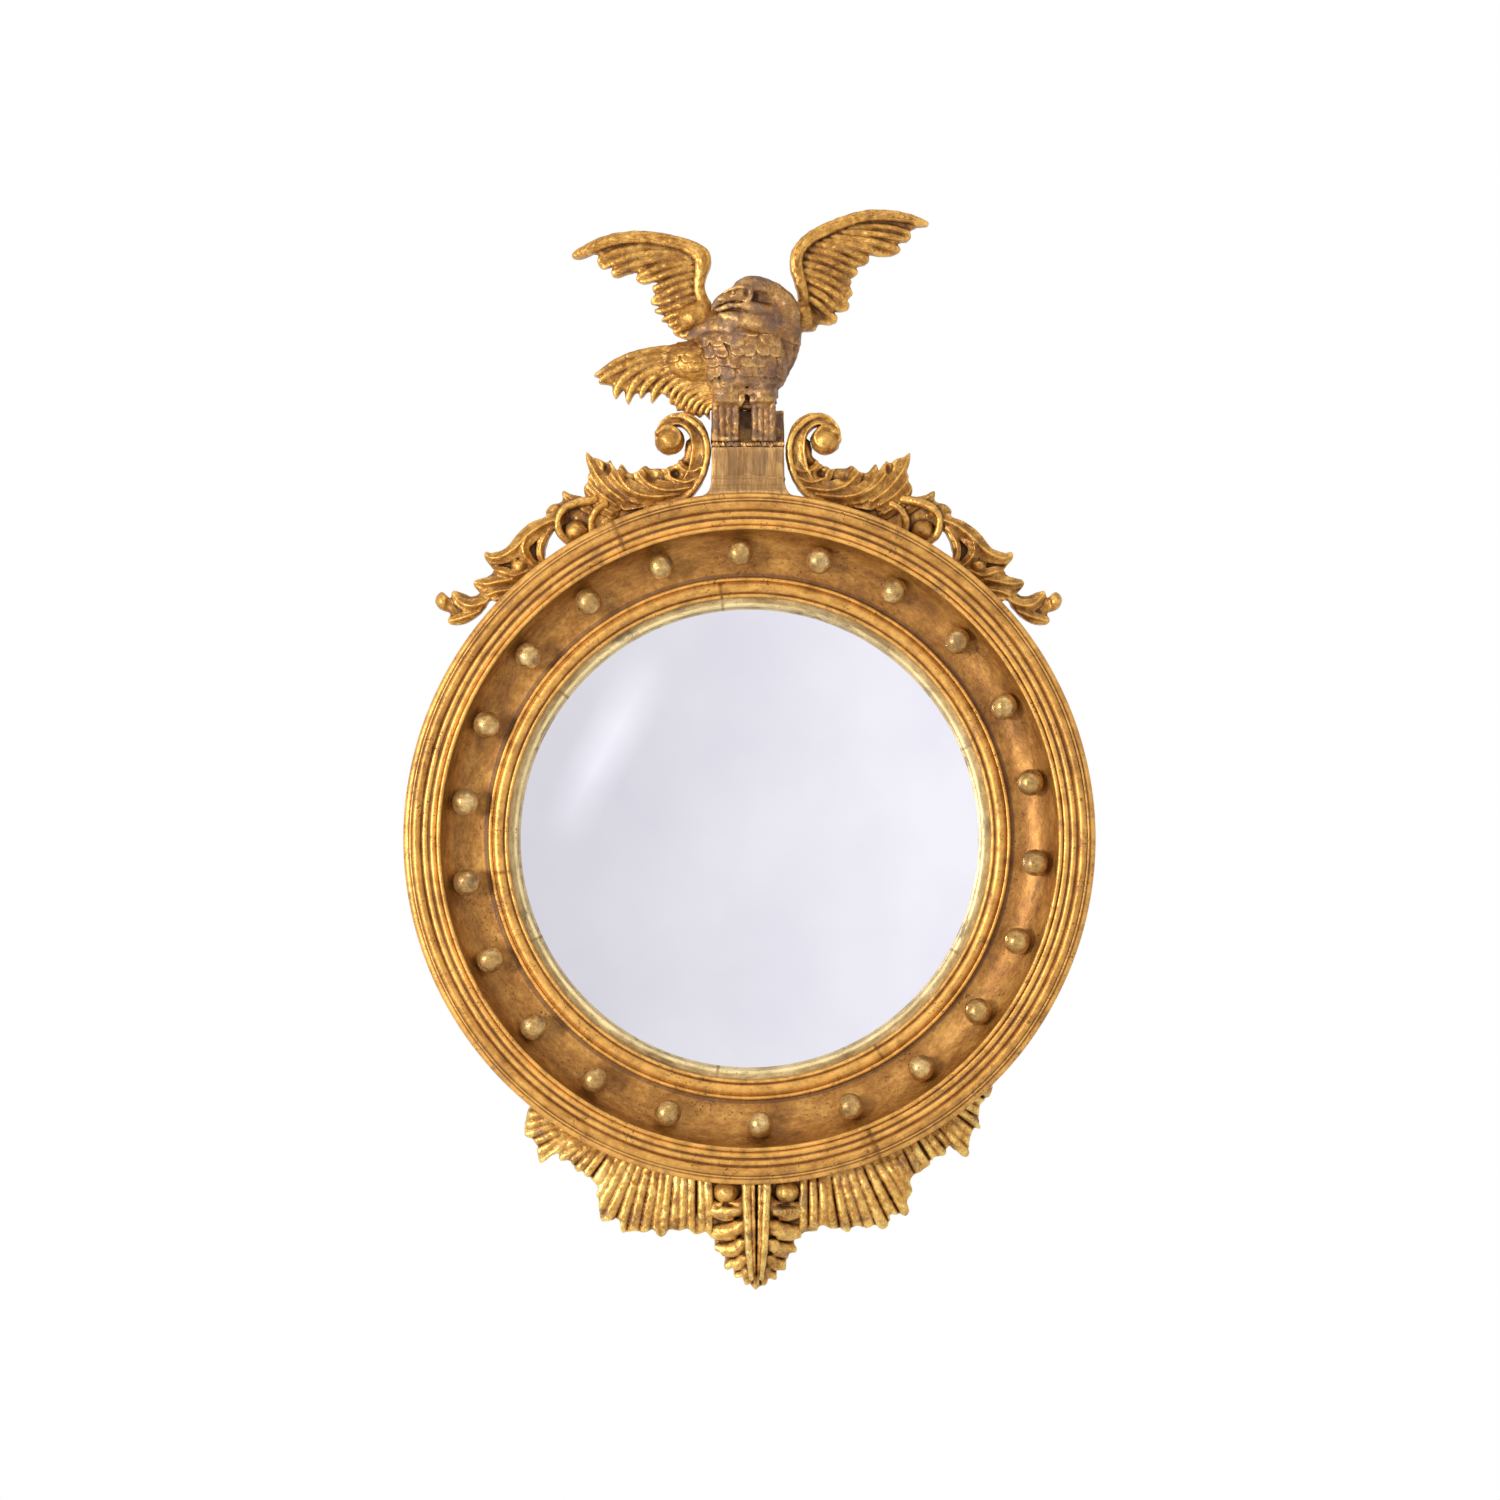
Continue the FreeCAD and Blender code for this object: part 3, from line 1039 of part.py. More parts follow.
def build_apron_fan(side_name, side, cutter):
    """A fan of fluted pleats under the ring: (root, tip, half width at the root and near the tip)."""
    pleats_left = [
        ((-214.2, -14.8), (-231.7, 7), 6, 7), ((-207.1, -8.6), (-224.7, 17.9), 6, 7),
        ((-197.5, -5.3), (-219.6, 25.1), 6, 6), ((-191.4, -3.2), (-210.2, 28.9), 6, 6),
        ((-183.6, -2), (-198.6, 37.2), 6, 7), ((-172.8, -3.5), (-189.4, 24.9), 6, 6),
        ((-167.8, -2.7), (-180.2, 23.8), 6, 7), ((-157, -3.7), (-164.7, 27.2), 6, 7),
        ((-147.6, -2.6), (-154.4, 29.4), 6, 6), ((-136.7, -3), (-141.4, 41.5), 7, 8),
        ((-124.3, -4.6), (-127, 60.7), 7, 10), ((-109.2, -4.6), (-106.6, 66), 7, 9),
        ((-94.8, -5.8), (-91.4, 59.6), 7, 8), ((-80, -5.4), (-75.7, 59.2), 6, 8),
        ((-66.4, -5.2), (-63, 51.1), 6, 8), ((-52.9, -4.5), (-47.9, 52.3), 6, 7),
    ]
    pleats_right = [
        ((249.8, -15.8), (258, 3.6), 7, 7), ((236.7, -13.4), (242.8, 7.4), 7, 8),
        ((222.5, -8.9), (233.5, 17.5), 7, 7), ((212.7, -6), (215, 25.2), 7, 7),
        ((204.8, -5.3), (207.6, 36.6), 6, 6), ((192.4, -4.9), (193.4, 21.7), 6, 7),
        ((178.3, -5), (184.2, 20.5), 6, 6), ((168.8, -4.5), (174.3, 24.8), 6, 6),
        ((157.5, -4.6), (165.5, 27.6), 6, 6), ((148, -3.5), (152.3, 29.5), 6, 7),
        ((136.7, -3), (144.5, 40.9), 7, 8), ((124.3, -4.6), (132.5, 57.9), 7, 9),
        ((111.5, -4.9), (114, 64.7), 7, 9), ((98, -5.9), (98.9, 58), 7, 9),
        ((84.1, -5.4), (84.8, 57.6), 6, 7), ((73.8, -5.8), (72.8, 51.3), 6, 8),
         ((62.2, -5), (54.3, 50.4), 6, 8),
    ]
    pleats = pleats_left if side < 0 else pleats_right
    back, relief = size("carving_back_depth"), size("fan_relief")
    shapes = []
    for root, tip, root_half, tip_half in pleats:
        inner = Vector(root[0], root[1], 0)
        outer = Vector(tip[0], tip[1], 0)
        along = outer - inner
        stations = []
        for share, half, height in ((0.0, root_half, 0.8), (0.55, (root_half + tip_half) / 2, 1.0),
                                    (0.86, tip_half, 0.86), (1.0, tip_half * 0.66, 0.7),
                                    (1.0 + 4.0 / along.Length, tip_half * 0.34, 0.5)):
            point = inner + along * share
            stations.append((point.x, point.y, half, height))
        shapes.append(rib(stations, back, relief, under_rim))
    webs = {-1: [(-217.3, 4.7), (-199.4, 17.5), (-180.3, 15.7), (-155.5, 22.2), (-140, 30), (-124, 53),
                 (-104.3, 57.8), (-70.4, 49.7), (-40.9, 44.2), (-47.7, -11.3), (-127.2, -12.1),
                  (-204.9, -16.1)],
            1: [(248.8, -8.7), (227.1, 14.7), (207.3, 19.4), (189.8, 14.6), (159.7, 22.2), (140.9, 32.6),
                (131.7, 52.1), (113.6, 57.1), (82.7, 50.8), (50.5, 45.7), (58.9, -9.6),
                 (126.5, -10.2), (227.2, -18.1)]}
    shapes.append(plate(webs[side], back, relief * 0.5, under_rim))
    return seated("apron_%s_fan" % side_name, joined(shapes).cut(pendant_half_box()), cutter)


PENDANT_AXIS = 7.0
PENDANT_HALF_WIDTH = 49.0


def pendant_half_box(gap=0.0):
    """The upright flat joints between the pendant and the two fans."""
    half = PENDANT_HALF_WIDTH - gap
    ring = size("outer_radius")
    return Part.makeBox(2 * half, 200, 1.5 * ring, Vector(PENDANT_AXIS - half, -200, -2 * ring))


def build_apron_pendant(cutter):
    """The middle leaf: a three-ribbed stem, two bosses and four lobes a side."""
    axis = PENDANT_AXIS
    stem = [[(axis - 6.5, 6.5, 5.5, 0.9), (axis - 5.5, -45.5, 4.5, 0.95), (axis - 4, -93.5, 3.5, 0.75)],
            [(axis, 6.5, 5, 0.8), (axis, -45.5, 4.5, 0.85), (axis, -95.5, 4, 0.7), (axis, -107.5, 2, 0.5)],
            [(axis + 8, 6.5, 5.5, 0.9), (axis + 7, -45.5, 4.5, 0.95), (axis + 5, -93.5, 3.5, 0.75)]]
    half_lobes = [
        [(-12, -7.5, 10, 0.8), (-28, -7.5, 14, 0.86), (-44, -7.5, 8, 0.7)],
        [(-16, -17.5, 10, 0.6), (-30, -25.5, 12, 0.8), (-42, -33.5, 8, 0.66)],
        [(-10, -31.5, 9, 0.55), (-24, -45.5, 12, 0.8), (-38, -52.5, 10, 0.66), (-45, -52.5, 5, 0.5)],
        [(-8, -47.5, 9, 0.55), (-20, -59.5, 10, 0.78), (-34, -65.5, 8, 0.62), (-39, -67.5, 4, 0.5)],
        [(-7, -63.5, 8, 0.55), (-17, -75.5, 9, 0.74), (-27, -82.5, 7, 0.6), (-30, -85.5, 4, 0.5)],
        [(-6, -77.5, 7, 0.55), (-13, -87.5, 7.5, 0.7), (-18, -92.5, 6, 0.55), (-20, -95, 3, 0.48)],
        [(-3, -87.5, 6, 0.55), (-6, -95.5, 5, 0.6), (-8, -101, 3, 0.48)],
    ]
    back, relief = size("carving_back_depth"), size("pendant_relief")
    shapes = [rib(stations, back, relief, below_ring) for stations in stem]
    for side in (-1, 1):
        for stations in half_lobes:
            sided = [(axis - side * x, z, width, share) for x, z, width, share in stations]
            shapes.append(rib(sided, back, relief, below_ring))
        shapes.append(ball(axis + side * 30.5, -10.5, 12.2, back + relief - 11.0, below_ring))
    web = [(-38, 10.5), (-38, -43.5), (-26, -69.5), (-10, -91.5), (7, -103.5), (22, -91.5), (38, -69.5),
           (50, -43.5), (50, 10.5)]
    shapes.append(plate(web, back, relief * 0.42, below_ring))
    inside = joined(shapes).common(pendant_half_box(size("joint_gap")))
    return seated("apron_pendant", inside, cutter)


def build_carving_dowels():
    return part_feature("carving_dowels",
                        Part.makeCompound(dowels(rim_dowel_ends(RIM_DOWELS))
                                          + dowels(eagle_dowel_ends())))


# ---------------------------------------------------------------- everything together

rim = rim_cutter()
eagle_holes = Part.makeCompound(dowels(eagle_dowel_ends(), size("screw_gap")))
strap_holes = crest_holes()

nodes = [build_cove_ring(), build_outer_reeded_ring(), build_inner_astragal_ring(),
         build_slip_ring(), build_glass(), build_glass_blocks(), build_backing_board(),
         build_backboard_screws()]
nodes += build_balls()
for side_name, side in SIDES:
    nodes.append(build_hanger_strap(side_name, side))
    nodes.append(build_hanger_ring(side_name, side))
nodes.append(build_hanger_screws())
nodes.append(build_crest_plinth(rim, strap_holes))
nodes.append(build_eagle_perch())
nodes.append(build_eagle_back_block(strap_holes))
nodes.append(build_crest_strap())
nodes.append(build_crest_strap_screws())
nodes += build_eagle(eagle_holes)
for side_name, side in SIDES:
    nodes.append(build_scroll(side_name, side, rim))
    nodes.append(build_leaf_spray(side_name, side, rim))
    nodes.append(build_apron_fan(side_name, side, rim))
nodes.append(build_apron_pendant(rim))
nodes.append(build_carving_dowels())

doc.recompute()

for item in doc.Objects:
    if "Invalid" in item.State or "Error" in item.State:
        raise RuntimeError("%s did not build: %s" % (item.Label, item.State))
for node in nodes:
    if node.Shape.isNull() or not node.Shape.isValid():
        raise RuntimeError("%s has no valid shape" % node.Label)

os.makedirs("parts", exist_ok=True)
for node in nodes:
    node.Shape.exportStep("parts/%s.step" % node.Label)
    box = node.Shape.BoundBox
    print("%-22s solids %2d volume %9.0f  x %7.1f..%7.1f  depth %6.1f..%6.1f  z %7.1f..%7.1f"
          % (node.Label, len(node.Shape.Solids), node.Shape.Volume,
             box.XMin, box.XMax, -box.YMax, -box.YMin, box.ZMin, box.ZMax))
print("nodes", len(nodes))
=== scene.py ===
import math

import bpy
import numpy as np
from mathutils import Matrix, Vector


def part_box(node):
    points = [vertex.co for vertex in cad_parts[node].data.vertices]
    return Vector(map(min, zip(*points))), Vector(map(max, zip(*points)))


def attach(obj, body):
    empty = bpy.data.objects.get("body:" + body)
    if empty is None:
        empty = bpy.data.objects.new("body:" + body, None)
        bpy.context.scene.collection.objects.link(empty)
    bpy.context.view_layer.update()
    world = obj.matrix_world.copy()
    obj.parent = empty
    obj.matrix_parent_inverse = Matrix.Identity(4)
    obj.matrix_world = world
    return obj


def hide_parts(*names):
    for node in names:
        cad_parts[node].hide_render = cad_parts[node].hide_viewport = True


# The girandole mirror's looks. All drawing sizes here are millimetres: x to the right, z up and d the
# distance in front of the wall; meshes are made in metres, with y = -d.

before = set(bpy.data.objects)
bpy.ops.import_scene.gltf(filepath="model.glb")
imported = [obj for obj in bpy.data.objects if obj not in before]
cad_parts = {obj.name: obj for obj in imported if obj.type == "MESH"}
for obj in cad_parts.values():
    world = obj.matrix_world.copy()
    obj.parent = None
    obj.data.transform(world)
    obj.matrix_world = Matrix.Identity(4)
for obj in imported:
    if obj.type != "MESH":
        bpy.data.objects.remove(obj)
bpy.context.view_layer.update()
BODY = "mirror_frame"
RIM = 344.5
RIM_BODY = 338.0
RIM_STEP = 44.0


# ---------------------------------------------------------------- materials

def emptied(owner):
    """The node tree of a material or a world, with nothing in it."""
    owner.use_nodes = True
    owner.node_tree.nodes.clear()
    return owner.node_tree


def new_material(name):
    material = bpy.data.materials.new(name)
    tree = emptied(material)
    output = tree.nodes.new("ShaderNodeOutputMaterial")
    shader = tree.nodes.new("ShaderNodeBsdfPrincipled")
    tree.links.new(shader.outputs[0], output.inputs[0])
    return material, tree, shader


def noise(tree, scale, detail=3.0, rough=0.55, stretch=None, where=None):
    """A noise of so many cells per metre, in the object's own coordinates unless others are given."""
    if where is None:
        where = tree.nodes.new("ShaderNodeTexCoord").outputs["Object"]
    if stretch:
        mapping = tree.nodes.new("ShaderNodeMapping")
        mapping.inputs["Scale"].default_value = stretch
        tree.links.new(where, mapping.inputs["Vector"])
        where = mapping.outputs["Vector"]
    node = tree.nodes.new("ShaderNodeTexNoise")
    node.inputs["Scale"].default_value = scale
    node.inputs["Detail"].default_value = detail
    node.inputs["Roughness"].default_value = rough
    tree.links.new(where, node.inputs["Vector"])
    return node.outputs["Fac"]


def remap(tree, value, low, high, to_low=0.0, to_high=1.0):
    node = tree.nodes.new("ShaderNodeMapRange")
    node.inputs["From Min"].default_value = low
    node.inputs["From Max"].default_value = high
    node.inputs["To Min"].default_value = to_low
    node.inputs["To Max"].default_value = to_high
    tree.links.new(value, node.inputs["Value"])
    return node.outputs["Result"]


def maths(tree, operation, first, second):
    node = tree.nodes.new("ShaderNodeMath")
    node.operation = operation
    for socket, value in zip(node.inputs, (first, second)):
        if isinstance(value, (int, float)):
            socket.default_value = value
        else:
            tree.links.new(value, socket)
    return node.outputs[0]


def weighed(tree, first, share, second, other_share):
    """Two values, each times its share, added."""
    return maths(tree, "ADD", maths(tree, "MULTIPLY", first, share),
                 maths(tree, "MULTIPLY", second, other_share))


def bumped(tree, shader, height, strength, distance):
    bump = tree.nodes.new("ShaderNodeBump")
    bump.inputs["Strength"].default_value = strength
    bump.inputs["Distance"].default_value = distance
    tree.links.new(height, bump.inputs["Height"])
    tree.links.new(bump.outputs[0], shader.inputs["Normal"])


def mix(tree, factor, first, second):
    """Colours may be (r, g, b) or a socket."""
    node = tree.nodes.new("ShaderNodeMix")
    node.data_type = "RGBA"
    tree.links.new(factor, node.inputs[0])
    for socket, value in ((node.inputs[6], first), (node.inputs[7], second)):
        if isinstance(value, tuple):
            socket.default_value = (*value, 1.0)
        else:
            tree.links.new(value, socket)
    return node.outputs[2]


def srgb(red, green, blue):
    """A colour given as 0-255 values, as the shader wants it."""
    return tuple(((c / 255 + 0.055) / 1.055) ** 2.4 if c > 10 else c / 3294.6
                 for c in (red, green, blue))


def ring_place(tree, share=0.07):
    """Coordinates drawn out along the turning direction, without a seam."""
    where = tree.nodes.new("ShaderNodeSeparateXYZ")
    tree.links.new(tree.nodes.new("ShaderNodeTexCoord").outputs["Object"], where.inputs[0])
    x, y, z = where.outputs
    squares = maths(tree, "ADD", maths(tree, "MULTIPLY", x, x), maths(tree, "MULTIPLY", z, z))
    radius = maths(tree, "SQRT", squares, 0.5)
    joined = tree.nodes.new("ShaderNodeCombineXYZ")
    tree.links.new(maths(tree, "MULTIPLY", maths(tree, "DIVIDE", x, radius), share), joined.inputs[0])
    tree.links.new(maths(tree, "MULTIPLY", maths(tree, "DIVIDE", z, radius), share), joined.inputs[1])
    tree.links.new(maths(tree, "SUBTRACT", radius, y), joined.inputs[2])
    return joined.outputs[0]


def gilt(name, tones, rub, rub_share, rub_strength, specks, metallic=0.6, roughness=0.4, turned_share=0,
         stretch=None, dirt_and_shade_strength=0.9):
    """Water gilding worn by time: tone clouds, rubbed bole, dirt and painted shade in the hollows,
    painted highlights on the ridges, fine specks. tones are the dark, middle and light gold."""
    material, tree, shader = new_material(name)
    where = ring_place(tree, turned_share) if turned_share else None
    dark, mid, light = tones
    hollow = tree.nodes.new("ShaderNodeAttribute")
    hollow.attribute_name = "hollow"
    hollow = hollow.outputs["Fac"]
    clouds = noise(tree, 30, 4, 0.6, stretch, where)
    fine = noise(tree, 260, 4, 0.7, stretch, where)
    grain = noise(tree, 90, 4, 0.65, stretch, where)
    tone = weighed(tree, clouds, 0.4, fine, 0.3)
    tone = maths(tree, "ADD", tone, maths(tree, "MULTIPLY", grain, 0.3))
    colour = mix(tree, remap(tree, tone, 0.38, 0.5), dark, mid)
    colour = mix(tree, remap(tree, tone, 0.5, 0.62), colour, light)
    # Painted highlight: convex ridges are lightened beyond the lightest gold tone.
    edge = remap(tree, hollow, -0.1, -0.4)
    edge = maths(tree, "MULTIPLY", edge, remap(tree, grain, 0.35, 0.6, 0.3, 0.85))
    colour = mix(tree, edge, colour, tuple(min(1, c * 1.3) for c in light))
    rubbed = weighed(tree, noise(tree, 52, 5, 0.72, stretch, where), 0.75, fine, 0.25)
    low = 0.78 - rub_share
    patch = remap(tree, rubbed, low, low + 0.09)
    colour = mix(tree, maths(tree, "MULTIPLY", patch, rub_strength), colour, rub)
    # Dirt and painted shade: the more hollow a point, the more its colour goes to dark brown.
    dirt_and_shade = remap(tree, hollow, 0.04, 0.42)
    colour = mix(tree, maths(tree, "MULTIPLY", dirt_and_shade, dirt_and_shade_strength), colour, srgb(72, 38, 12))
    dots = remap(tree, noise(tree, 420, 2, 0.5), 0.7 - specks, 0.75 - specks)
    spread = remap(tree, noise(tree, 38, 3, 0.6), 0.46, 0.62)
    dots = maths(tree, "MULTIPLY", dots, spread)
    colour = mix(tree, maths(tree, "MULTIPLY", dots, 0.8), colour, srgb(74, 44, 22))
    tree.links.new(colour, shader.inputs["Base Color"])
    worn = maths(tree, "MAXIMUM", maths(tree, "MULTIPLY", patch, rub_strength),
                 maths(tree, "MULTIPLY", dirt_and_shade, 0.8))
    tree.links.new(remap(tree, worn, 0, 1, metallic, 0.15), shader.inputs["Metallic"])
    shine = weighed(tree, fine, 0.3, worn, 0.2)
    tree.links.new(maths(tree, "ADD", shine, roughness - 0.15), shader.inputs["Roughness"])
    height = weighed(tree, noise(tree, 130, 5, 0.65, stretch, where), 0.75, noise(tree, 600, 3, 0.6), 0.25)
    bumped(tree, shader, height, 0.8, 0.0009)
    return material


def plain(name, dark, light, scale, metallic, roughness, stretch=None, bump_height=0.0002):
    """Metal, wood or paint with a two-tone grain."""
    material, tree, shader = new_material(name)
    grain = noise(tree, scale, 5, 0.6, stretch)
    spots = noise(tree, 30, 3, 0.6)
    both = weighed(tree, grain, 0.6, spots, 0.4)
    tree.links.new(mix(tree, remap(tree, both, 0.36, 0.64), dark, light), shader.inputs["Base Color"])
    shader.inputs["Metallic"].default_value = metallic
    tree.links.new(remap(tree, both, 0.3, 0.7, roughness + 0.1, roughness - 0.08),
                   shader.inputs["Roughness"])
    bumped(tree, shader, grain, 0.4, bump_height)
    return material


def silvered_glass():
    material, tree, shader = new_material("silvered_glass")
    clouds = noise(tree, 7, 3, 0.5)
    dust = remap(tree, noise(tree, 420, 2, 0.5), 0.7, 0.76)
    colour = mix(tree, remap(tree, clouds, 0.35, 0.65), srgb(229, 227, 236), srgb(236, 235, 242))
    colour = mix(tree, maths(tree, "MULTIPLY", dust, 0.12), colour, srgb(170, 170, 176))
    tree.links.new(colour, shader.inputs["Base Color"])
    shader.inputs["Metallic"].default_value = 1.0
    tree.links.new(remap(tree, clouds, 0.3, 0.7, 0.03, 0.055), shader.inputs["Roughness"])
    return material


GOLD = (srgb(130, 82, 30), srgb(176, 120, 50), srgb(216, 162, 82))
GILT = {
    "gilt_frame": gilt("gilt_frame", GOLD, srgb(114, 74, 44), 0.23, 0.6, 0.1, turned_share=0.2,
                       dirt_and_shade_strength=0.62),
    "gilt_carving": gilt("gilt_carving", (srgb(124, 76, 28), srgb(174, 120, 48), srgb(230, 178, 92)),
                         srgb(116, 78, 50), 0.24, 0.6, 0.02, roughness=0.36),
    # Painted light: the apron's gilding is a lighter copy of the carving's, as if the apron were lit more
    # brightly.
    "gilt_apron_painted_light": gilt("gilt_apron_painted_light", (srgb(142, 90, 36), srgb(202, 146, 66), srgb(246, 202, 118)),
                       srgb(112, 76, 56), 0.25, 0.7, 0.04, roughness=0.36),
    "gilt_bird": gilt("gilt_bird", (srgb(120, 80, 42), srgb(158, 112, 62), srgb(212, 168, 104)),
                      srgb(112, 82, 68), 0.3, 0.8, 0.03, roughness=0.4),
    "gilt_balls": gilt("gilt_balls", (srgb(140, 104, 54), srgb(190, 150, 88), srgb(238, 208, 146)),
                       srgb(104, 74, 50), 0.25, 0.75, 0.05, metallic=0.75, roughness=0.3),
    "gilt_plinth": gilt("gilt_plinth", (srgb(132, 94, 50), srgb(164, 122, 70), srgb(198, 156, 100)),
                        srgb(118, 88, 66), 0.26, 0.6, 0.02, stretch=(3.4, 1.0, 0.4)),
    "slip_gilding": gilt("slip_gilding", (srgb(134, 108, 66), srgb(188, 160, 108), srgb(228, 206, 150)),
                         srgb(112, 92, 70), 0.25, 0.75, 0.06, roughness=0.42, turned_share=0.09, dirt_and_shade_strength=0.5),
}
GLASS = silvered_glass()
BRASS = plain("hanger_brass", srgb(150, 116, 56), srgb(206, 170, 96), 500, 1.0, 0.32)
IRON = plain("strap_iron", srgb(20, 18, 17), srgb(52, 48, 44), 260, 0.4, 0.55, None, 0.0004)
STEEL = plain("screw_steel", srgb(110, 108, 104), srgb(176, 174, 170), 420, 1.0, 0.34)
BOARD = plain("board_wood", srgb(92, 62, 36), srgb(142, 104, 66), 60, 0.0, 0.66, (1.0, 1.0, 9.0), 0.0005)
BARE = plain("plain_wood", srgb(150, 112, 70), srgb(190, 152, 106), 90, 0.0, 0.62, (6.0, 6.0, 1.0))


# ---------------------------------------------------------------- meshes

def make_object(name, vertices, faces, material, nodes, hollow=None):
    """A piece from points in drawing millimetres, that stands for CAD nodes."""
    mesh = bpy.data.meshes.new(name)
    points = np.stack([vertices[:, 0], -vertices[:, 1], vertices[:, 2]], axis=1) / 1000.0
    mesh.vertices.add(len(points))
    mesh.vertices.foreach_set("co", points.astype(np.float32).ravel())
    mesh.loops.add(faces.size)
    mesh.loops.foreach_set("vertex_index", faces.astype(np.int32).ravel())
    mesh.polygons.add(len(faces))
    mesh.polygons.foreach_set("loop_start", np.arange(0, faces.size, faces.shape[1], dtype=np.int32))
    mesh.update(calc_edges=True)
    mesh.polygons.foreach_set("use_smooth", np.ones(len(faces), dtype=bool))
    if hollow is not None:
        attribute = mesh.attributes.new("hollow", "FLOAT", "POINT")
        attribute.data.foreach_set("value", hollow.astype(np.float32))
    mesh.materials.append(material)
    mesh.validate()
    piece = bpy.data.objects.new(name, mesh)
    bpy.context.scene.collection.objects.link(piece)
    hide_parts(*nodes)
    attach(piece, BODY)
    return piece


def arc(start, end, bulge, count=10):
    """Points from start to end, bowed to the left of travel by that share of the chord."""
    start, end = np.array(start, float), np.array(end, float)
    chord = end - start
    length = np.hypot(*chord)
    sag = bulge * length
    radius = (length * length / 4 + sag * sag) / (2 * abs(sag))
    normal = np.array([-chord[1], chord[0]]) / length * math.copysign(1, sag)
    centre = (start + end) / 2 - normal * (radius - abs(sag))
    first = math.atan2(*(start - centre)[::-1])
    sweep = math.atan2(*(end - centre)[::-1]) - first
    sweep = (sweep + math.pi) % (2 * math.pi) - math.pi
    return [tuple(centre + radius * np.array([math.cos(first + sweep * t), math.sin(first + sweep * t)]))
            for t in np.linspace(0, 1, count)]


def densify(points, spacing=1.2):
    """A closed outline with no long gaps, so that it can carry detail."""
    result = []
    for start, end in zip(points, points[1:] + points[:1]):
        count = max(1, int(math.hypot(end[0] - start[0], end[1] - start[1]) / spacing))
        for step in range(count):
            share = step / count
            result.append((start[0] + (end[0] - start[0]) * share, start[1] + (end[1] - start[1]) * share))
    return np.array(result)


def lathe(radius, depth, turn, closed):
    """Points and quads of an outline (radius, depth) at every turn; it may come back to its start."""
    vertices = np.stack([radius * np.cos(turn)[:, None], depth + 0 * turn[:, None],
                         radius * np.sin(turn)[:, None]], axis=2).reshape(-1, 3)
    count = radius.shape[1]
    row = np.arange(count if closed else count - 1)
    following = (row + 1) % count
    base = (np.arange(len(turn)) * count)[:, None]
    other = np.roll(base, -1, axis=0)
    faces = np.stack([base + row, base + following, other + following, other + row], axis=2)
    return vertices, faces.reshape(-1, 4)


def turned(name, outline, gilding, node, segments, wobble, seed, joints=(), spacing=1.2):
    """A lathe piece from a closed (radius, depth) outline, anticlockwise, with a hand's unevenness."""
    profile = densify(outline, spacing)
    smooth = np.zeros_like(profile)
    reach = 3
    for shift in range(-reach, reach + 1):
        smooth += np.roll(profile, shift, axis=0)
    smooth /= 2 * reach + 1
    tangent = np.roll(profile, -2, axis=0) - np.roll(profile, 2, axis=0)
    normal = np.stack([tangent[:, 1], -tangent[:, 0]], axis=1)
    normal /= np.maximum(np.hypot(*normal.T), 1e-6)[:, None]
    # How concave the outline is at each point: the gilding darkens concave parts with dirt and painted
    # shade and gives convex parts a painted highlight.
    hollow_line = np.clip(((smooth - profile) * normal).sum(axis=1) / 1.1, -0.6, 0.8)
    rng = np.random.default_rng(seed)
    turn = np.linspace(0, 2 * math.pi, segments, endpoint=False)
    uneven = sum(rng.normal(0, 1.0 / (1 + 0.25 * k)) * np.sin(k * turn + rng.uniform(0, 6.28))
                 for k in range(2, 26))
    uneven *= wobble / max(1e-6, np.abs(uneven).max())
    radius = profile[None, :, 0] + uneven[:, None] * 0.6
    front = profile[None, :, 1] > profile[:, 1].mean()
    depth = profile[None, :, 1] + np.roll(uneven, 17)[:, None] * front
    hollow = np.repeat(hollow_line[None, :], segments, axis=0)
    for joint in joints:
        gap = np.abs((turn - math.radians(joint) + math.pi) % (2 * math.pi) - math.pi)
        hollow[gap < 0.6 * 2 * math.pi / segments] = 0.3
    vertices, faces = lathe(radius, depth, turn, True)
    print("%-20s faces %d" % (name, len(faces)))
    return make_object(name, vertices, faces, GILT[gilding], [node], hollow.reshape(-1))


# ---------------------------------------------------------------- carving

def spline(stations, per=6):
    """Catmull-Rom through the stations, all columns alike."""
    points = np.array(stations, float)
    padded = np.vstack([2 * points[0] - points[1], points, 2 * points[-1] - points[-2]])
    result = []
    for index in range(len(points) - 1):
        p0, p1, p2, p3 = padded[index:index + 4]
        for share in np.arange(per) / per:
            result.append(0.5 * (2 * p1 + (p2 - p0) * share + (2 * p0 - 5 * p1 + 4 * p2 - p3) * share ** 2
                                 + (3 * p1 - p0 - 3 * p2 + p3) * share ** 3))
    result.append(points[-1])
    return np.array(result)


def to_segment(x, z, a, b):
    """How far along the segment from a to b each point lies (0 to 1), and how far from it."""
    along = b[:2] - a[:2]
    t = np.clip(((x - a[0]) * along[0] + (z - a[1]) * along[1]) / max(along @ along, 1e-6), 0, 1)
    return t, np.hypot(x - a[0] - t * along[0], z - a[1] - t * along[1])


def smooth_max(first, second, soft):
    share = np.clip(0.5 + 0.5 * (first - second) / soft, 0, 1)
    return second + (first - second) * share + soft * share * (1 - share)


# How far the surface has dropped below the crest of a stroke, in half widths, from its middle (0)
# to its edge (1).
SECTIONS = {
    "round": lambda u: 0.85 * (1 - np.sqrt(np.clip(1 - u * u, 0, 1))),
    "flat": lambda u: 0.5 * np.clip(u - 0.7, 0, 1) ** 1.5,
    "cusp": lambda u: 0.55 * (1 - (1 - np.clip(u, 0, 1)) ** 2.2),
    "dome": lambda u: 0.6 * np.clip(u, 0, 1) ** 2.2,
    "trough": lambda u: 0.42 * (1 - np.clip(u / 0.85, 0, 1) ** 2) + 0.6 * np.clip(u - 0.85, 0, 1),
}


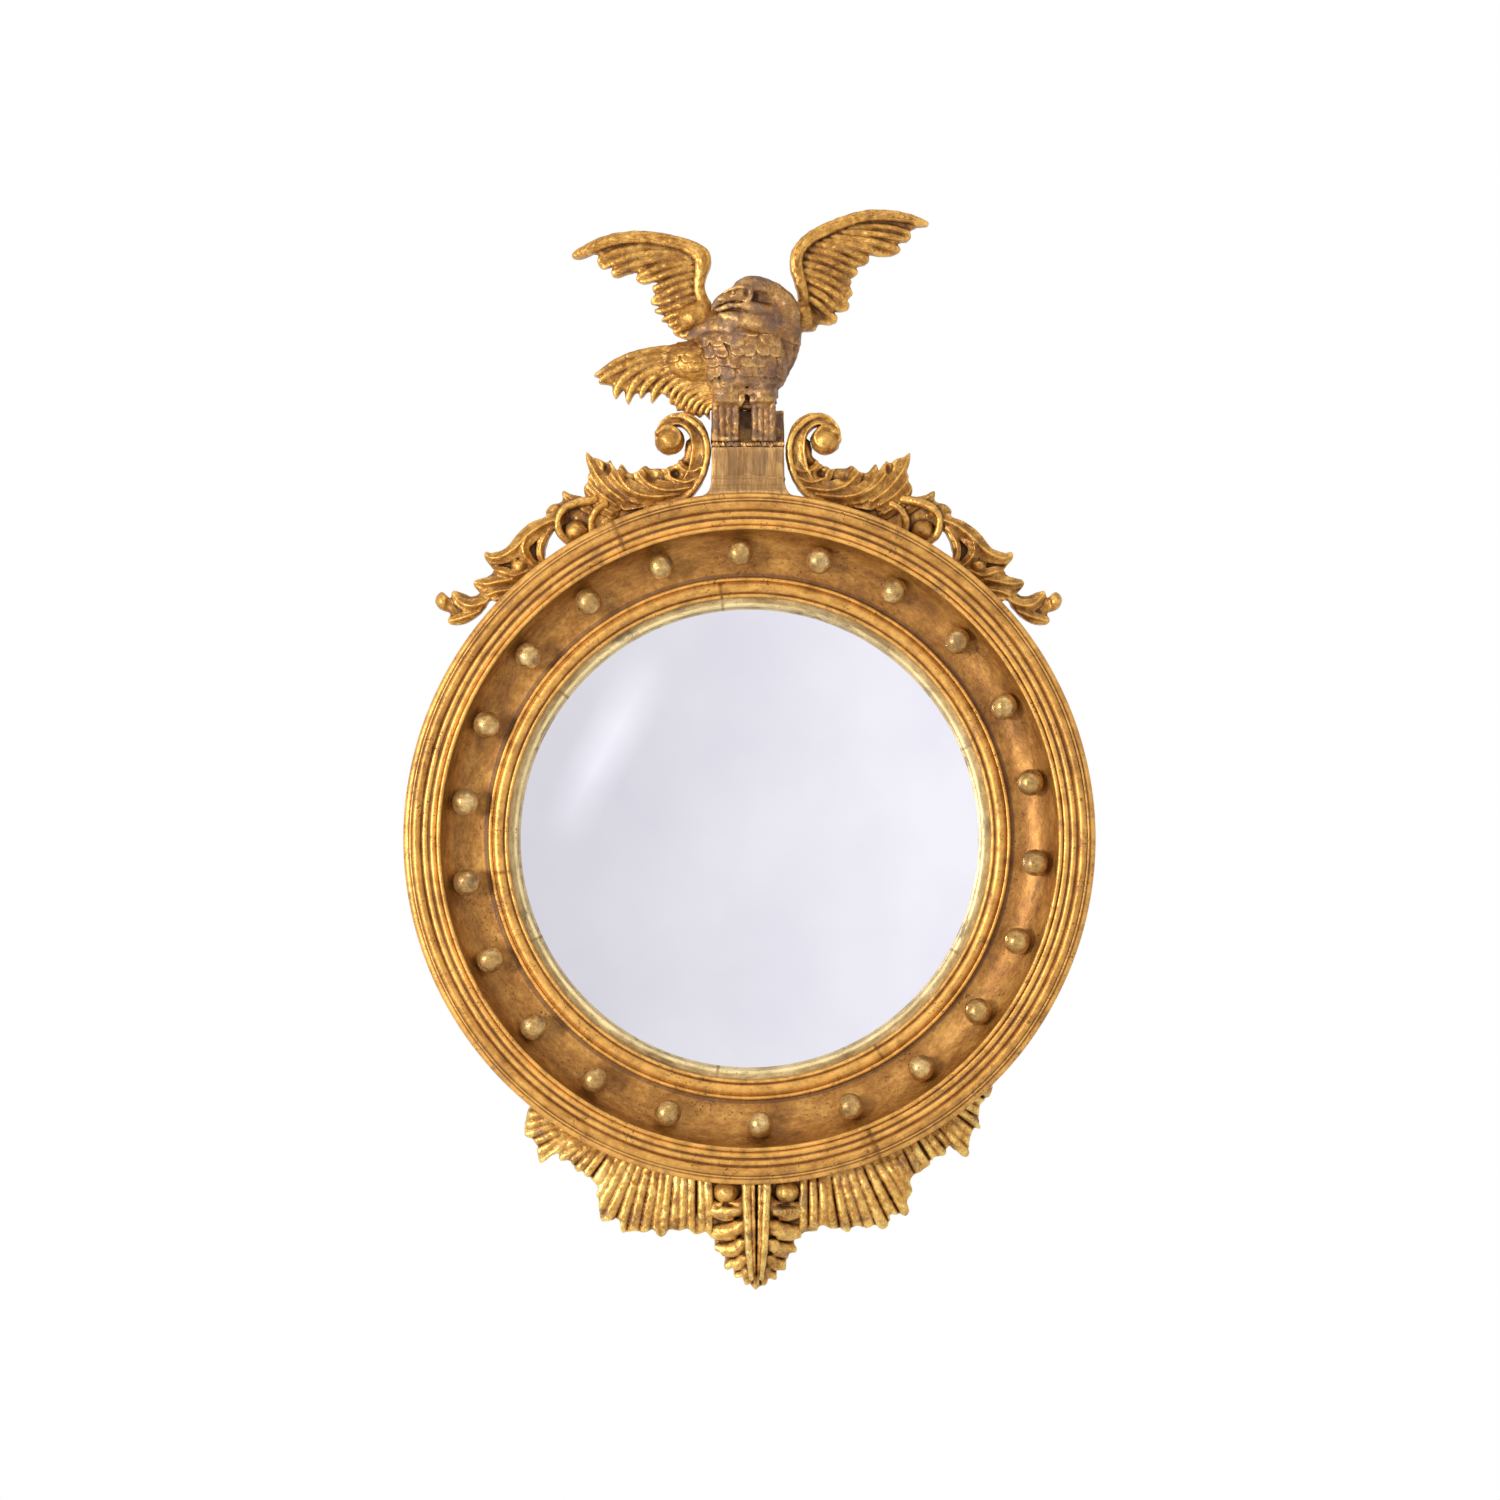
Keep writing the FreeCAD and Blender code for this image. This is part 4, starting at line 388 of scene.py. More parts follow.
class Carving:
    """Wood as a signed field on a grid of points; below zero is wood."""

    def __init__(self, low, high, step=1.0):
        self.step = step
        self.low = np.array(low, float)
        self.axes = [np.arange(a, b + step, step, dtype=np.float32) for a, b in zip(low, high)]
        self.field = np.full([len(axis) for axis in self.axes], 12.0, dtype=np.float32)

    def coordinates(self):
        """x, depth and z of the grid, each shaped so that they work together."""
        return (self.axes[0][:, None, None], self.axes[1][None, :, None], self.axes[2][None, None, :])

    def window(self, x0, x1, z0, z1):
        xs = slice(*np.searchsorted(self.axes[0], (x0, x1)))
        zs = slice(*np.searchsorted(self.axes[2], (z0, z1)))
        return xs, zs

    def add(self, xs, zs, solid, soft=0.0):
        block = self.field[xs, :, zs]
        if soft:
            self.field[xs, :, zs] = -smooth_max(-block, -solid, soft)
        else:
            self.field[xs, :, zs] = np.minimum(block, solid)

    def fill(self, solid):
        """More wood, anywhere on the grid."""
        self.field = np.minimum(self.field, solid.astype(np.float32))

    def cut(self, limit):
        """No wood where this is above zero."""
        self.field = np.maximum(self.field, limit)

    def raised(self, top, edge, back, soft):
        """Wood from this depth up to a top surface, inside an edge, with the two run together softly."""
        depth = self.axes[1][None, :, None]
        solid = smooth_max(depth - top[:, None, :], edge[:, None, :] + 0 * depth, soft)
        return np.maximum(solid, back - depth)

    def stroke(self, stations, back, relief, section="round", soft=1.6, blend=0.0):
        """A carved rib along (x, z, half width, share of the relief) stations."""
        line = spline(stations)
        pad = line[:, 2].max() + 5
        xs, zs = self.window(line[:, 0].min() - pad, line[:, 0].max() + pad,
                             line[:, 1].min() - pad, line[:, 1].max() + pad)
        x, z = np.meshgrid(self.axes[0][xs], self.axes[2][zs], indexing="ij")
        if x.size == 0:
            return
        edge = np.full(x.shape, 1e3)
        width = np.ones(x.shape)
        share = np.ones(x.shape)
        for a, b in zip(line, line[1:]):
            t, away = to_segment(x, z, a, b)
            here = a[2] + t * (b[2] - a[2])
            nearer = away - here < edge
            edge = np.where(nearer, away - here, edge)
            width = np.where(nearer, here, width)
            share = np.where(nearer, a[3] + t * (b[3] - a[3]), share)
        u = np.clip((edge + width) / np.maximum(width, 0.5), 0, 1.3)
        top = back + relief * share - SECTIONS[section](u) * width
        self.add(xs, zs, self.raised(top, edge, back, soft), blend)

    def edge_distance(self, corners):
        """Distance in front view from a smoothed closed outline, below zero inside, over the grid."""
        points = spline(list(corners) + [corners[0]], 3)[:-1]
        x, z = np.meshgrid(self.axes[0], self.axes[2], indexing="ij")
        inside = np.zeros(x.shape, dtype=bool)
        nearest = np.full(x.shape, 1e3)
        for a, b in zip(points, np.roll(points, -1, axis=0)):
            nearest = np.minimum(nearest, to_segment(x, z, a, b)[1])
            if a[1] != b[1]:
                crossing = a[0] + (z - a[1]) / (b[1] - a[1]) * (b[0] - a[0])
                inside ^= ((a[1] > z) != (b[1] > z)) & (x < crossing)
        return np.where(inside, -nearest, nearest)

    def sheet(self, corners, back, height, round_off):
        """A plate of that outline with a rounded edge. Gives the distance from the outline."""
        edge = self.edge_distance(corners)
        inset = np.clip(-edge / round_off, 0, 1)
        top = back + height * (0.6 + 0.4 * np.sqrt(1 - (1 - inset) ** 2))
        self.fill(self.raised(top, edge, back, 1.2))
        return edge

    def trim(self, edge):
        """Cut to an outline, with the front rounded towards it."""
        self.field = smooth_max(self.field, edge[:, None, :] + 0 * self.field, 1.6).astype(np.float32)

    def oval(self, centre, radii, pad):
        """The window round an ellipsoid, and about how far each point in it lies outside."""
        x0, d0, z0 = centre
        a, b, c = radii
        xs, zs = self.window(x0 - a - pad, x0 + a + pad, z0 - c - pad, z0 + c + pad)
        x = (self.axes[0][xs][:, None, None] - x0) / a
        d = (self.axes[1][None, :, None] - d0) / b
        z = (self.axes[2][zs][None, None, :] - z0) / c
        return xs, zs, (np.sqrt(x * x + d * d + z * z) - 1) * min(radii)

    def dig(self, centre, radii, soft=1.0):
        """A hollow scooped out of the wood."""
        xs, zs, away = self.oval(centre, radii, 6)
        self.field[xs, :, zs] = smooth_max(self.field[xs, :, zs], -away, soft).astype(np.float32)

    def ellipsoid(self, centre, radii, soft=0.0):
        self.add(*self.oval(centre, radii, 8), soft)

    def seat(self):
        """Cut to the rim of the ring."""
        gap = 0.35
        radius = np.hypot(self.axes[0][:, None], self.axes[2][None, :])[:, None, :]
        depth = self.axes[1][None, :, None]
        self.cut(np.where(depth > RIM_STEP - gap, RIM + gap, RIM_BODY + gap) - radius)

    def above(self, back):
        """Nothing behind this depth."""
        self.cut(back - self.axes[1][None, :, None])

    def mesh(self):
        """The surface as quads, with how hollow each point is."""
        field = np.pad(self.field, 1, constant_values=12.0)
        inside = field < 0
        parts = [inside[i:i - 1 or None, j:j - 1 or None, k:k - 1 or None].astype(np.int8)
                 for i in (0, 1) for j in (0, 1) for k in (0, 1)]
        total = sum(parts)
        cells = np.argwhere((total > 0) & (total < 8))
        index = np.full(total.shape, -1, dtype=np.int64)
        index[tuple(cells.T)] = np.arange(len(cells))
        place = np.zeros((len(cells), 3))
        found = np.zeros(len(cells))
        corners = np.array([(i, j, k) for i in (0, 1) for j in (0, 1) for k in (0, 1)])
        for a in corners:
            for axis in range(3):
                if a[axis]:
                    continue
                b = a.copy()
                b[axis] = 1
                fa = field[tuple((cells + a).T)]
                fb = field[tuple((cells + b).T)]
                cut = (fa < 0) != (fb < 0)
                share = fa[cut] / (fa[cut] - fb[cut])
                place[cut] += a + share[:, None] * (b - a)
                found[cut] += 1
        place = cells + place / found[:, None]
        faces = []
        for axis in range(3):
            unit = np.eye(3, dtype=int)[axis]
            one, two = (np.eye(3, dtype=int)[(axis + 1) % 3], np.eye(3, dtype=int)[(axis + 2) % 3])
            size = np.array(field.shape)
            first = inside[tuple(slice(0, n - u) for n, u in zip(size, unit))]
            second = inside[tuple(slice(u, n) for n, u in zip(size, unit))]
            for here, flip in (((first & ~second), False), ((~first & second), True)):
                at = np.argwhere(here)
                at = at[(at @ one > 0) & (at @ two > 0)]
                ring = [index[tuple((at - o).T)] for o in (one + two, two, 0 * one, one)]
                quad = np.stack(ring[::-1] if flip else ring, axis=1)
                faces.append(quad)
        faces = np.concatenate(faces)
        faces = faces[(faces >= 0).all(axis=1)]
        # Each point moves part of the way to the middle of those beside it.
        total = np.zeros_like(place)
        count = np.zeros(len(place))
        for k in range(4):
            for step in (1, -1):
                np.add.at(total, faces[:, k], place[faces[:, (k + step) % 4]])
                np.add.at(count, faces[:, k], 1)
        place = 0.45 * place + 0.55 * total / np.maximum(count, 1)[:, None]
        # How enclosed each point is by wood: the gilding darkens enclosed points with dirt and painted
        # shade and gives open edges a painted highlight.
        solid = np.clip(0.5 - field / (2 * self.step), 0, 1)
        near = blurred(solid, max(1, round(1.6 / self.step)))
        far = blurred(solid, max(2, round(3.6 / self.step)))
        spot = tuple(np.clip(np.rint(place).astype(int), 0, np.array(field.shape) - 1).T)
        hollow = (near[spot] - 0.5) * 1.1 + (far[spot] - 0.5) * 1.3
        vertices = self.low + (place - 1) * self.step
        return vertices, faces, hollow

    def finish(self, name, gilding, node):
        vertices, faces, hollow = main_part(*self.mesh())
        print("%-20s faces %d" % (name, len(faces)))
        return make_object(name, vertices, faces[:, ::-1], GILT[gilding], [node], hollow)


def main_part(vertices, faces, hollow):
    """The largest connected piece alone."""
    label = np.arange(len(vertices))
    while True:
        lowest = label[faces].min(axis=1)
        updated = label.copy()
        for k in range(4):
            np.minimum.at(updated, faces[:, k], lowest)
        updated = updated[updated]
        if (updated == label).all():
            break
        label = updated
    names, counts = np.unique(label, return_counts=True)
    keep = label == names[counts.argmax()]
    number = np.cumsum(keep) - 1
    faces = faces[keep[faces[:, 0]]]
    return vertices[keep], number[faces], hollow[keep]


def blurred(volume, reach):
    """Two box blurs along each axis."""
    for _ in range(2):
        for axis in range(3):
            padded = np.concatenate([np.repeat(volume.take([0], axis), reach + 1, axis), volume,
                                     np.repeat(volume.take([-1], axis), reach, axis)], axis)
            summed = np.cumsum(padded, axis, dtype=np.float64)
            length = volume.shape[axis]
            upper = summed.take(range(2 * reach + 1, 2 * reach + 1 + length), axis)
            lower = summed.take(range(0, length), axis)
            volume = ((upper - lower) / (2 * reach + 1)).astype(np.float32)
    return volume


# ---------------------------------------------------------------- the turned rings

SHOULDER = 69.5
turned("outer_moulding",
       [(311.8, 44.4), (344.4, 44.4), (344.5, 62.0)]
       + arc((344.5, 62), (339.2, SHOULDER - 0.5), -0.3, 8)[1:]
       + arc((338.7, SHOULDER - 0.4), (336.9, SHOULDER + 1.2), -0.3, 5)
       + arc((336.4, SHOULDER + 0.6), (327.2, SHOULDER - 0.6), -0.36, 16)
       + arc((326.6, SHOULDER - 0.8), (319.6, SHOULDER - 0.8), -0.28, 10)
       + arc((318.8, SHOULDER - 0.4), (311.8, SHOULDER - 0.4), -0.36, 10),
       "gilt_frame", "outer_reeded_ring", 600, 0.22, 3, (113.5, 292))
turned("cove",
       [(338, 0.0), (338, 43.9), (311.6, 43.9), (311.5, 73), (307.9, 73)]
       + arc((307.9, 73), (262, 37.9), 0.23, 40)[1:] + arc((262, 41), (258, 41), -0.3, 6)
       + [(258, 24.1), (246.8, 24.1), (246.8, 8.0), (302, 8.0), (302, 0.0)],
       "gilt_frame", "cove_ring", 560, 0.16, 4, (), 2.6)
turned("inner_astragal",
       [(242, 33.3), (246.8, 33.3), (246.8, 24.3), (257.7, 24.3), (257.7, 42)]
       + arc((257.7, 42), (246.3, 42), -0.32, 14)[1:] + arc((245.8, 41.6), (242, 41.6), -0.36, 8),
       "gilt_frame", "inner_astragal_ring", 600, 0.12, 5, (96.8, 188, 301))
turned("slip",
       [(233, 26), (246.5, 26), (246.5, 33), (235.2, 33), (234, 32.6), (233.2, 31.6), (233, 30)],
       "slip_gilding", "slip_ring", 600, 0.05, 6, (96.5, 23, 142, 205, 262, 331))


GLASS_RADIUS = 240.0
GLASS_CURVE = 1000.0
GLASS_CROWN = 53.24
GLASS_THICKNESS = 4.0


def build_glass():
    """The convex silvered glass: part of a sphere, with a square edge."""
    face = [(r, GLASS_CROWN - (GLASS_CURVE - math.sqrt(GLASS_CURVE ** 2 - r ** 2)))
            for r in GLASS_RADIUS * np.linspace(1, 0, 60)]
    back = [(r, d - GLASS_THICKNESS) for r, d in face[::-1]]
    rings = np.array(back + [(GLASS_RADIUS, 22.0)] + face)
    turn = np.linspace(0, 2 * math.pi, 256, endpoint=False)
    vertices, faces = lathe(rings[None, :, 0], rings[None, :, 1], turn, False)
    piece = make_object("mirror_glass", vertices, faces, GLASS, ["convex_glass"])
    tools = piece.modifiers.new("join_centre", "WELD")
    tools.merge_threshold = 0.00001
    return piece


build_glass()


# ---------------------------------------------------------------- the balls

BALL_CIRCLE = 286.0
BALL_DEPTH = 56.84
BALL_RADIUS = 13.4


def build_ball(number, seed):
    low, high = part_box("cove_ball_%02d" % number)
    angle = -88.0 if number == 1 else -69.4 + (360 - 37.2) / 20 * (number - 2)
    turn = math.radians(angle)
    centre = np.array([BALL_CIRCLE * math.cos(turn), BALL_DEPTH, BALL_CIRCLE * math.sin(turn)])
    rng = np.random.default_rng(seed)
    around, down = 56, 36
    phi = np.linspace(0, 2 * math.pi, around, endpoint=False)
    theta = np.linspace(0, math.pi, down)
    directions = np.stack([np.sin(theta)[:, None] * np.cos(phi)[None, :],
                           np.cos(theta)[:, None] + 0 * phi[None, :],
                           np.sin(theta)[:, None] * np.sin(phi)[None, :]], axis=2).reshape(-1, 3)
    dents = np.zeros(len(directions))
    for _ in range(12):
        axis = rng.normal(size=3)
        axis /= np.linalg.norm(axis)
        near = np.exp(-((1 - directions @ axis) / 0.05) ** 2)
        dents += rng.normal(0, 0.13) * near
    flat = 0.35 * np.exp(-((1 - directions[:, 1]) / 0.035) ** 2)
    radius = BALL_RADIUS + dents - flat
    vertices = centre + directions * radius[:, None]
    ring = np.arange(around)
    base = (np.arange(down - 1) * around)[:, None]
    faces = np.stack([base + ring, base + (ring + 1) % around, base + around + (ring + 1) % around,
                      base + around + ring], axis=2).reshape(-1, 4)
    # Painted contact shadow: the hollow value rises near where the ball sits on the cove, so the gilding
    # darkens it there; dented places get painted shade and bumps a painted highlight the same way.
    footing = np.array([303.0 * math.cos(turn), 37.5, 303.0 * math.sin(turn)])
    foot = np.linalg.norm(vertices - footing, axis=1)
    hollow = np.clip((17.5 - foot) / 8, 0, 0.8) - dents * 0.4
    piece = make_object("ball_%02d" % number, vertices, faces, GILT["gilt_balls"],
                        ["cove_ball_%02d" % number], hollow)
    piece.modifiers.new("poles", "WELD").merge_threshold = 0.00002
    return piece


for ball_number in range(1, 23):
    build_ball(ball_number, 40 + ball_number)


# ---------------------------------------------------------------- plinth, ledge and block

def uneven(carving, cell, height, seed):
    """Soft carver's marks: the field moved by a low noise."""
    rng = np.random.default_rng(seed)
    size = [max(2, int((axis[-1] - axis[0]) / cell) + 2) for axis in carving.axes]
    coarse = rng.normal(0, 1, size)
    spots = [(axis - axis[0]) / max(axis[-1] - axis[0], 1) * (count - 1)
             for axis, count in zip(carving.axes, size)]
    value = coarse
    for axis, spot in enumerate(spots):
        low = np.clip(spot.astype(int), 0, size[axis] - 2)
        share = spot - low
        share = share * share * (3 - 2 * share)
        shape = [1, 1, 1]
        shape[axis] = -1
        share = share.reshape(shape)
        value = value.take(low, axis) * (1 - share) + value.take(low + 1, axis) * share
    carving.field += (value * height).astype(np.float32)


def build_plinth():
    carving = Carving((-52, -2, 334), (48, 66, 396), 0.8)
    x, d, z = carving.coordinates()
    sweep = np.clip((359.5 - z) / 16.5, 0, 1)
    flare = 8.2 * (1 - np.sqrt(np.clip(1 - sweep ** 2, 0, 1)) * 0.92 - 0.08 * (1 - sweep)) * (sweep > 0)
    fillet = 0.9 * np.exp(-((z - 360.3) / 1.1) ** 2)
    half = 36.4 + flare + fillet - 0.012 * (z - 360)
    front = 55.2 + 0.7 * flare + fillet
    side = smooth_max(np.abs(x + 1.5) - half, d - front, 1.6)
    carving.fill(np.maximum(np.maximum(side, 3.4 - d), z - 391.3))
    carving.seat()
    uneven(carving, 14, 0.16, 11)
    return carving.finish("plinth", "gilt_plinth", "crest_plinth")


def build_perch():
    carving = Carving((-43, 0, 386), (40, 62, 400), 0.7)
    x, d, z = carving.coordinates()
    lip = 54.2 + 1.0 * np.sin(x * 0.9) + 0.9 * np.sin(x * 0.41 + 1) + 0.6 * np.sin(x * 2.1 + z)
    low = 391.6 + 0.5 * np.sin(x * 0.7 + 2) + 0.35 * np.sin(x * 1.7)
    side = smooth_max(np.abs(x + 1.5) - 36.2 - 0.3 * np.sin(d * 0.6), d - lip, 2.0)
    solid = smooth_max(side, np.maximum(z - 396.2 + 0.3 * np.sin(d * 0.8 + x), low - z), 1.4)
    carving.fill(np.maximum(solid, 3.4 - d))
    uneven(carving, 5, 0.3, 12)
    return carving.finish("rock_ledge", "gilt_bird", "eagle_perch")


def build_back_block():
    carving = Carving((-43, 0, 393), (40, 32, 435), 0.9)
    x, d, z = carving.coordinates()
    side = smooth_max(np.abs(x + 1.8) - 36.2 - 0.02 * (430 - z), d - 27.2, 1.6)
    solid = smooth_max(side, np.maximum(z - 430.6, 396.5 - z), 1.2)
    carving.fill(np.maximum(solid, 3.4 - d))
    uneven(carving, 7, 0.35, 13)
    return carving.finish("back_block", "gilt_bird", "eagle_back_block")


build_plinth()
build_perch()
build_back_block()


# ---------------------------------------------------------------- the eagle

def scales(x, z, pitch_x, pitch_z, height, seed):
    """Overlapping small feathers: how far each point stands out."""
    rng = np.random.default_rng(seed)
    best = np.zeros(np.broadcast(x, z).shape)
    rows = np.arange(z.min() - pitch_z, z.max() + pitch_z, pitch_z)
    for row, centre_z in enumerate(rows):
        offset = pitch_x / 2 if row % 2 else 0.0
        for centre_x in np.arange(x.min() - pitch_x + offset, x.max() + pitch_x, pitch_x):
            cx = centre_x + rng.normal(0, pitch_x * 0.14)
            cz = centre_z + rng.normal(0, pitch_z * 0.12)
            lean = rng.normal(0, 0.25)
            u = (x - cx) / (pitch_x * 0.6)
            v = (z - cz) / (pitch_z * 0.95)
            u = u + lean * v
            tip = np.clip(1 - np.abs(u) ** 2.6 - np.where(v < 0, v ** 4, (v * 0.7) ** 2), 0, 1)
            best = np.maximum(best, np.clip(tip * 5, 0, 1) * (0.7 - 0.45 * v + 0.12 * rng.normal()))
    return best * height


def scaled(carving, pitch_x, pitch_z, height, seed, lean, mask):
    """Small feathers raised on the front of a form, where the mask allows."""
    x, z = carving.axes[0][:, None], carving.axes[2][None, :]
    band = scales(x + lean * (z - 480), z + 0 * x, pitch_x, pitch_z, height, seed)
    depth = carving.axes[1][None, :, None]
    carving.field -= ((band * mask(x, z))[:, None, :] * np.clip((depth - 26) / 10, 0, 1)).astype(np.float32)


def build_torso():
    carving = Carving((-64, 2, 426), (58, 78, 540), 0.9)
    ovals = np.array([(426, -34, 23, 0.62), (432, -36, 25.5, 0.7), (450, -39, 28, 0.82),
                      (458, -42, 33, 0.9), (466, -46, 38, 0.96), (484, -52, 47, 1.0),
                      (500, -56, 50.2, 1.0), (516, -50, 50.2, 0.94), (530, -38, 47.5, 0.8),
                      (537, -28, 40, 0.6)])
    x, d, z = carving.coordinates()
    level = carving.axes[2]
    left, right, deep = (np.interp(level, ovals[:, 0], ovals[:, k])[None, None, :] for k in (1, 2, 3))
    half = (right - left) / 2 - 0.8
    middle = (right + left) / 2
    deep = deep * 28.5
    oval = (np.sqrt(((x - middle) / half) ** 2 + ((d - 38) / deep) ** 2) - 1) * np.minimum(half, deep)
    carving.fill(smooth_max(oval, np.maximum(z - 533, 430.5 - z), 4))
    # Thighs, with the dark slot between them.
    for thigh_x, half_width in ((-23, 14.5), (14, 12.6)):
        carving.ellipsoid((thigh_x, 50, 446), (half_width, 13.5, 19), 4)
    slot = np.hypot((x + 2.4) / 4.6, (z - 426) / 29) - 1
    carving.field = smooth_max(carving.field, -np.maximum(slot * 4.6, 46 - d), 1.5).astype(np.float32)
    scaled(carving, 12.5, 10.5, 3.4, 21, 0.3,
           lambda a, b: np.clip((43 - np.abs(a + 6 + 0.12 * (b - 480))) / 5, 0, 1)
           * np.clip((506 - b) / 6, 0, 1) * np.clip((b - 450) / 4, 0, 1))
    scaled(carving, 9, 8, 1.6, 26, 0.0, lambda a, b: np.clip((452 - b) / 4, 0, 1)
           * np.clip((b - 433) / 3, 0, 1))
    # The smooth band that runs down the right contour from the neck.
    carving.stroke([(46, 522, 5, 0.99), (47, 505, 5, 1.0), (44.5, 488, 4.6, 0.96), (39, 474, 4, 0.88),
                    (33, 462, 3.2, 0.76)], 30, 13, "round", 2.0, 2.5)
    uneven(carving, 5, 0.4, 22)
    return carving.finish("eagle_breast", "gilt_bird", "eagle_body")


def build_head():
    carving = Carving((-64, 30, 494), (58, 79, 568), 0.7)
    back, relief = 40, 34
    # A broad folded neck: the mass behind, then the arch over the top with its hollow inner side.
    outline = [(44, 494), (49.6, 503), (50.3, 513), (47.6, 529), (42.5, 539.5), (37, 545), (30, 550.5),
               (20, 556.5), (10, 560), (0, 561), (-7.5, 559.2), (-12.5, 555), (-14.5, 549.5),
               (-20, 546.5), (-28, 543.5), (-33, 540), (-37, 532), (-36, 526), (-28, 522), (-30, 512),
               (-24, 500), (10, 497)]
    carving.sheet(outline, 36, 27, 17)
    carving.stroke([(42, 484, 6, 0.24), (44, 498, 8, 0.4), (44.6, 513, 9, 0.56), (40.5, 527, 10, 0.7),
                    (33, 538, 10, 0.8), (21, 546.5, 10, 0.88), (8, 551, 9.5, 0.93),
                    (-3, 550.5, 9, 0.95), (-10, 547, 7, 0.94)], back, relief, "dome", 5.0, 6.0)
    carving.dig((17, 74.5, 535.5), (19, 8.5, 8.0), 4)
    carving.stroke([(37, 503, 9, 0.5), (26, 508.5, 11, 0.76), (8, 513.5, 12, 0.9), (-10, 517.5, 10, 0.9),
                    (-22, 520.5, 6.6, 0.84), (-28, 521.5, 4, 0.78)], back, relief, "dome", 4.0, 5.0)
    carving.stroke([(-58, 502, 6, 0.16), (-46, 508, 9, 0.4), (-33, 511, 9, 0.62), (-20, 509, 8, 0.8)],
                   back, relief, "dome", 4.0, 5.0)
    carving.stroke([(26, 526, 5, 0.8), (12, 527.5, 6, 0.93), (-2, 530.5, 6, 0.95), (-9, 533, 5, 0.94)],
                   back, relief, "dome", 3.0, 4.0)
    # Head, brow, beak and eye.
    carving.ellipsoid((-12, 63, 541), (12.5, 10.6, 8.6), 3)
    carving.stroke([(-13, 541, 6.5, 0.96), (-22, 539.5, 6, 0.94), (-30, 535.5, 4.6, 0.9),
                    (-35.2, 530.6, 2.6, 0.84), (-36.6, 527.6, 1.3, 0.78)], back, relief, "round", 1.6, 1.2)
    carving.stroke([(-8, 534.5, 3.4, 0.9), (-18, 531.2, 3.2, 0.9), (-28, 528.2, 2.6, 0.86),
                    (-33.8, 526.6, 1.5, 0.8)], back, relief, "round", 1.4, 0.0)
    carving.stroke([(-2, 548, 1.8, 1.02), (-10, 548.2, 2.0, 1.04), (-18, 546, 1.8, 1.02),
                    (-26, 542.5, 1.3, 0.96)], back, relief, "round", 1.4, 0.6)
    carving.dig((-16.5, 75, 542.6), (4.4, 3.2, 3.0), 0.8)
    carving.ellipsoid((-16.5, 72.4, 542.6), (2.3, 2.2, 1.9), 0.3)
    carving.stroke([(1, 546, 3.4, 0.98), (0, 538, 3.4, 0.98), (-5, 533, 3, 0.96), (-13, 530, 2.4, 0.93)],
                   back, relief, "round", 2.0, 2.5)
    carving.dig((-20, 73, 534), (11, 4.6, 1.3), 1.0)
    scaled(carving, 8, 7, 1.1, 24, 0.0,
           lambda a, b: np.clip((20 - np.hypot(a - 24, (b - 512) * 1.6)) / 6, 0, 1))
    carving.cut(0.6 * (carving.coordinates()[0] - 50.5))
    carving.above(30)
    uneven(carving, 4.5, 0.35, 23)
    return carving.finish("eagle_head", "gilt_bird", "eagle_head_neck")


RIGHT_RAIL = [(47, 508, 5, 0.7), (52.5, 527, 5.4, 0.74), (54.2, 545, 5.6, 0.84), (51, 560, 5.9, 0.92),
              (47, 574, 6.4, 0.98), (48, 586, 6.4, 1.0), (54.6, 597, 6.4, 1.0), (65.4, 605.8, 6, 1.0),
              (81, 613.6, 6, 1.0), (99, 621, 5.8, 0.97), (119, 625.8, 5.6, 0.92),
              (139, 626.2, 5.4, 0.87), (157, 623.8, 5.2, 0.82), (170, 620.3, 4.4, 0.76),
              (178, 618.5, 2.4, 0.68)]
RIGHT_LOWER = [(168, 615), (162, 611), (162.5, 605), (158, 601), (150, 598.8), (152, 592), (147, 587.6),
               (140, 586), (130, 586), (120.5, 588), (120.5, 582), (117, 577.5), (108, 575.5),
               (109.5, 570), (106, 566), (101.5, 563.5), (103, 560), (101.5, 555), (104, 549),
               (101.5, 545), (98.5, 542), (101, 537), (98.5, 532), (92, 530), (86, 530), (88.8, 524),
               (86, 519), (80, 517), (70.5, 518), (68, 514), (64, 511), (52, 510)]
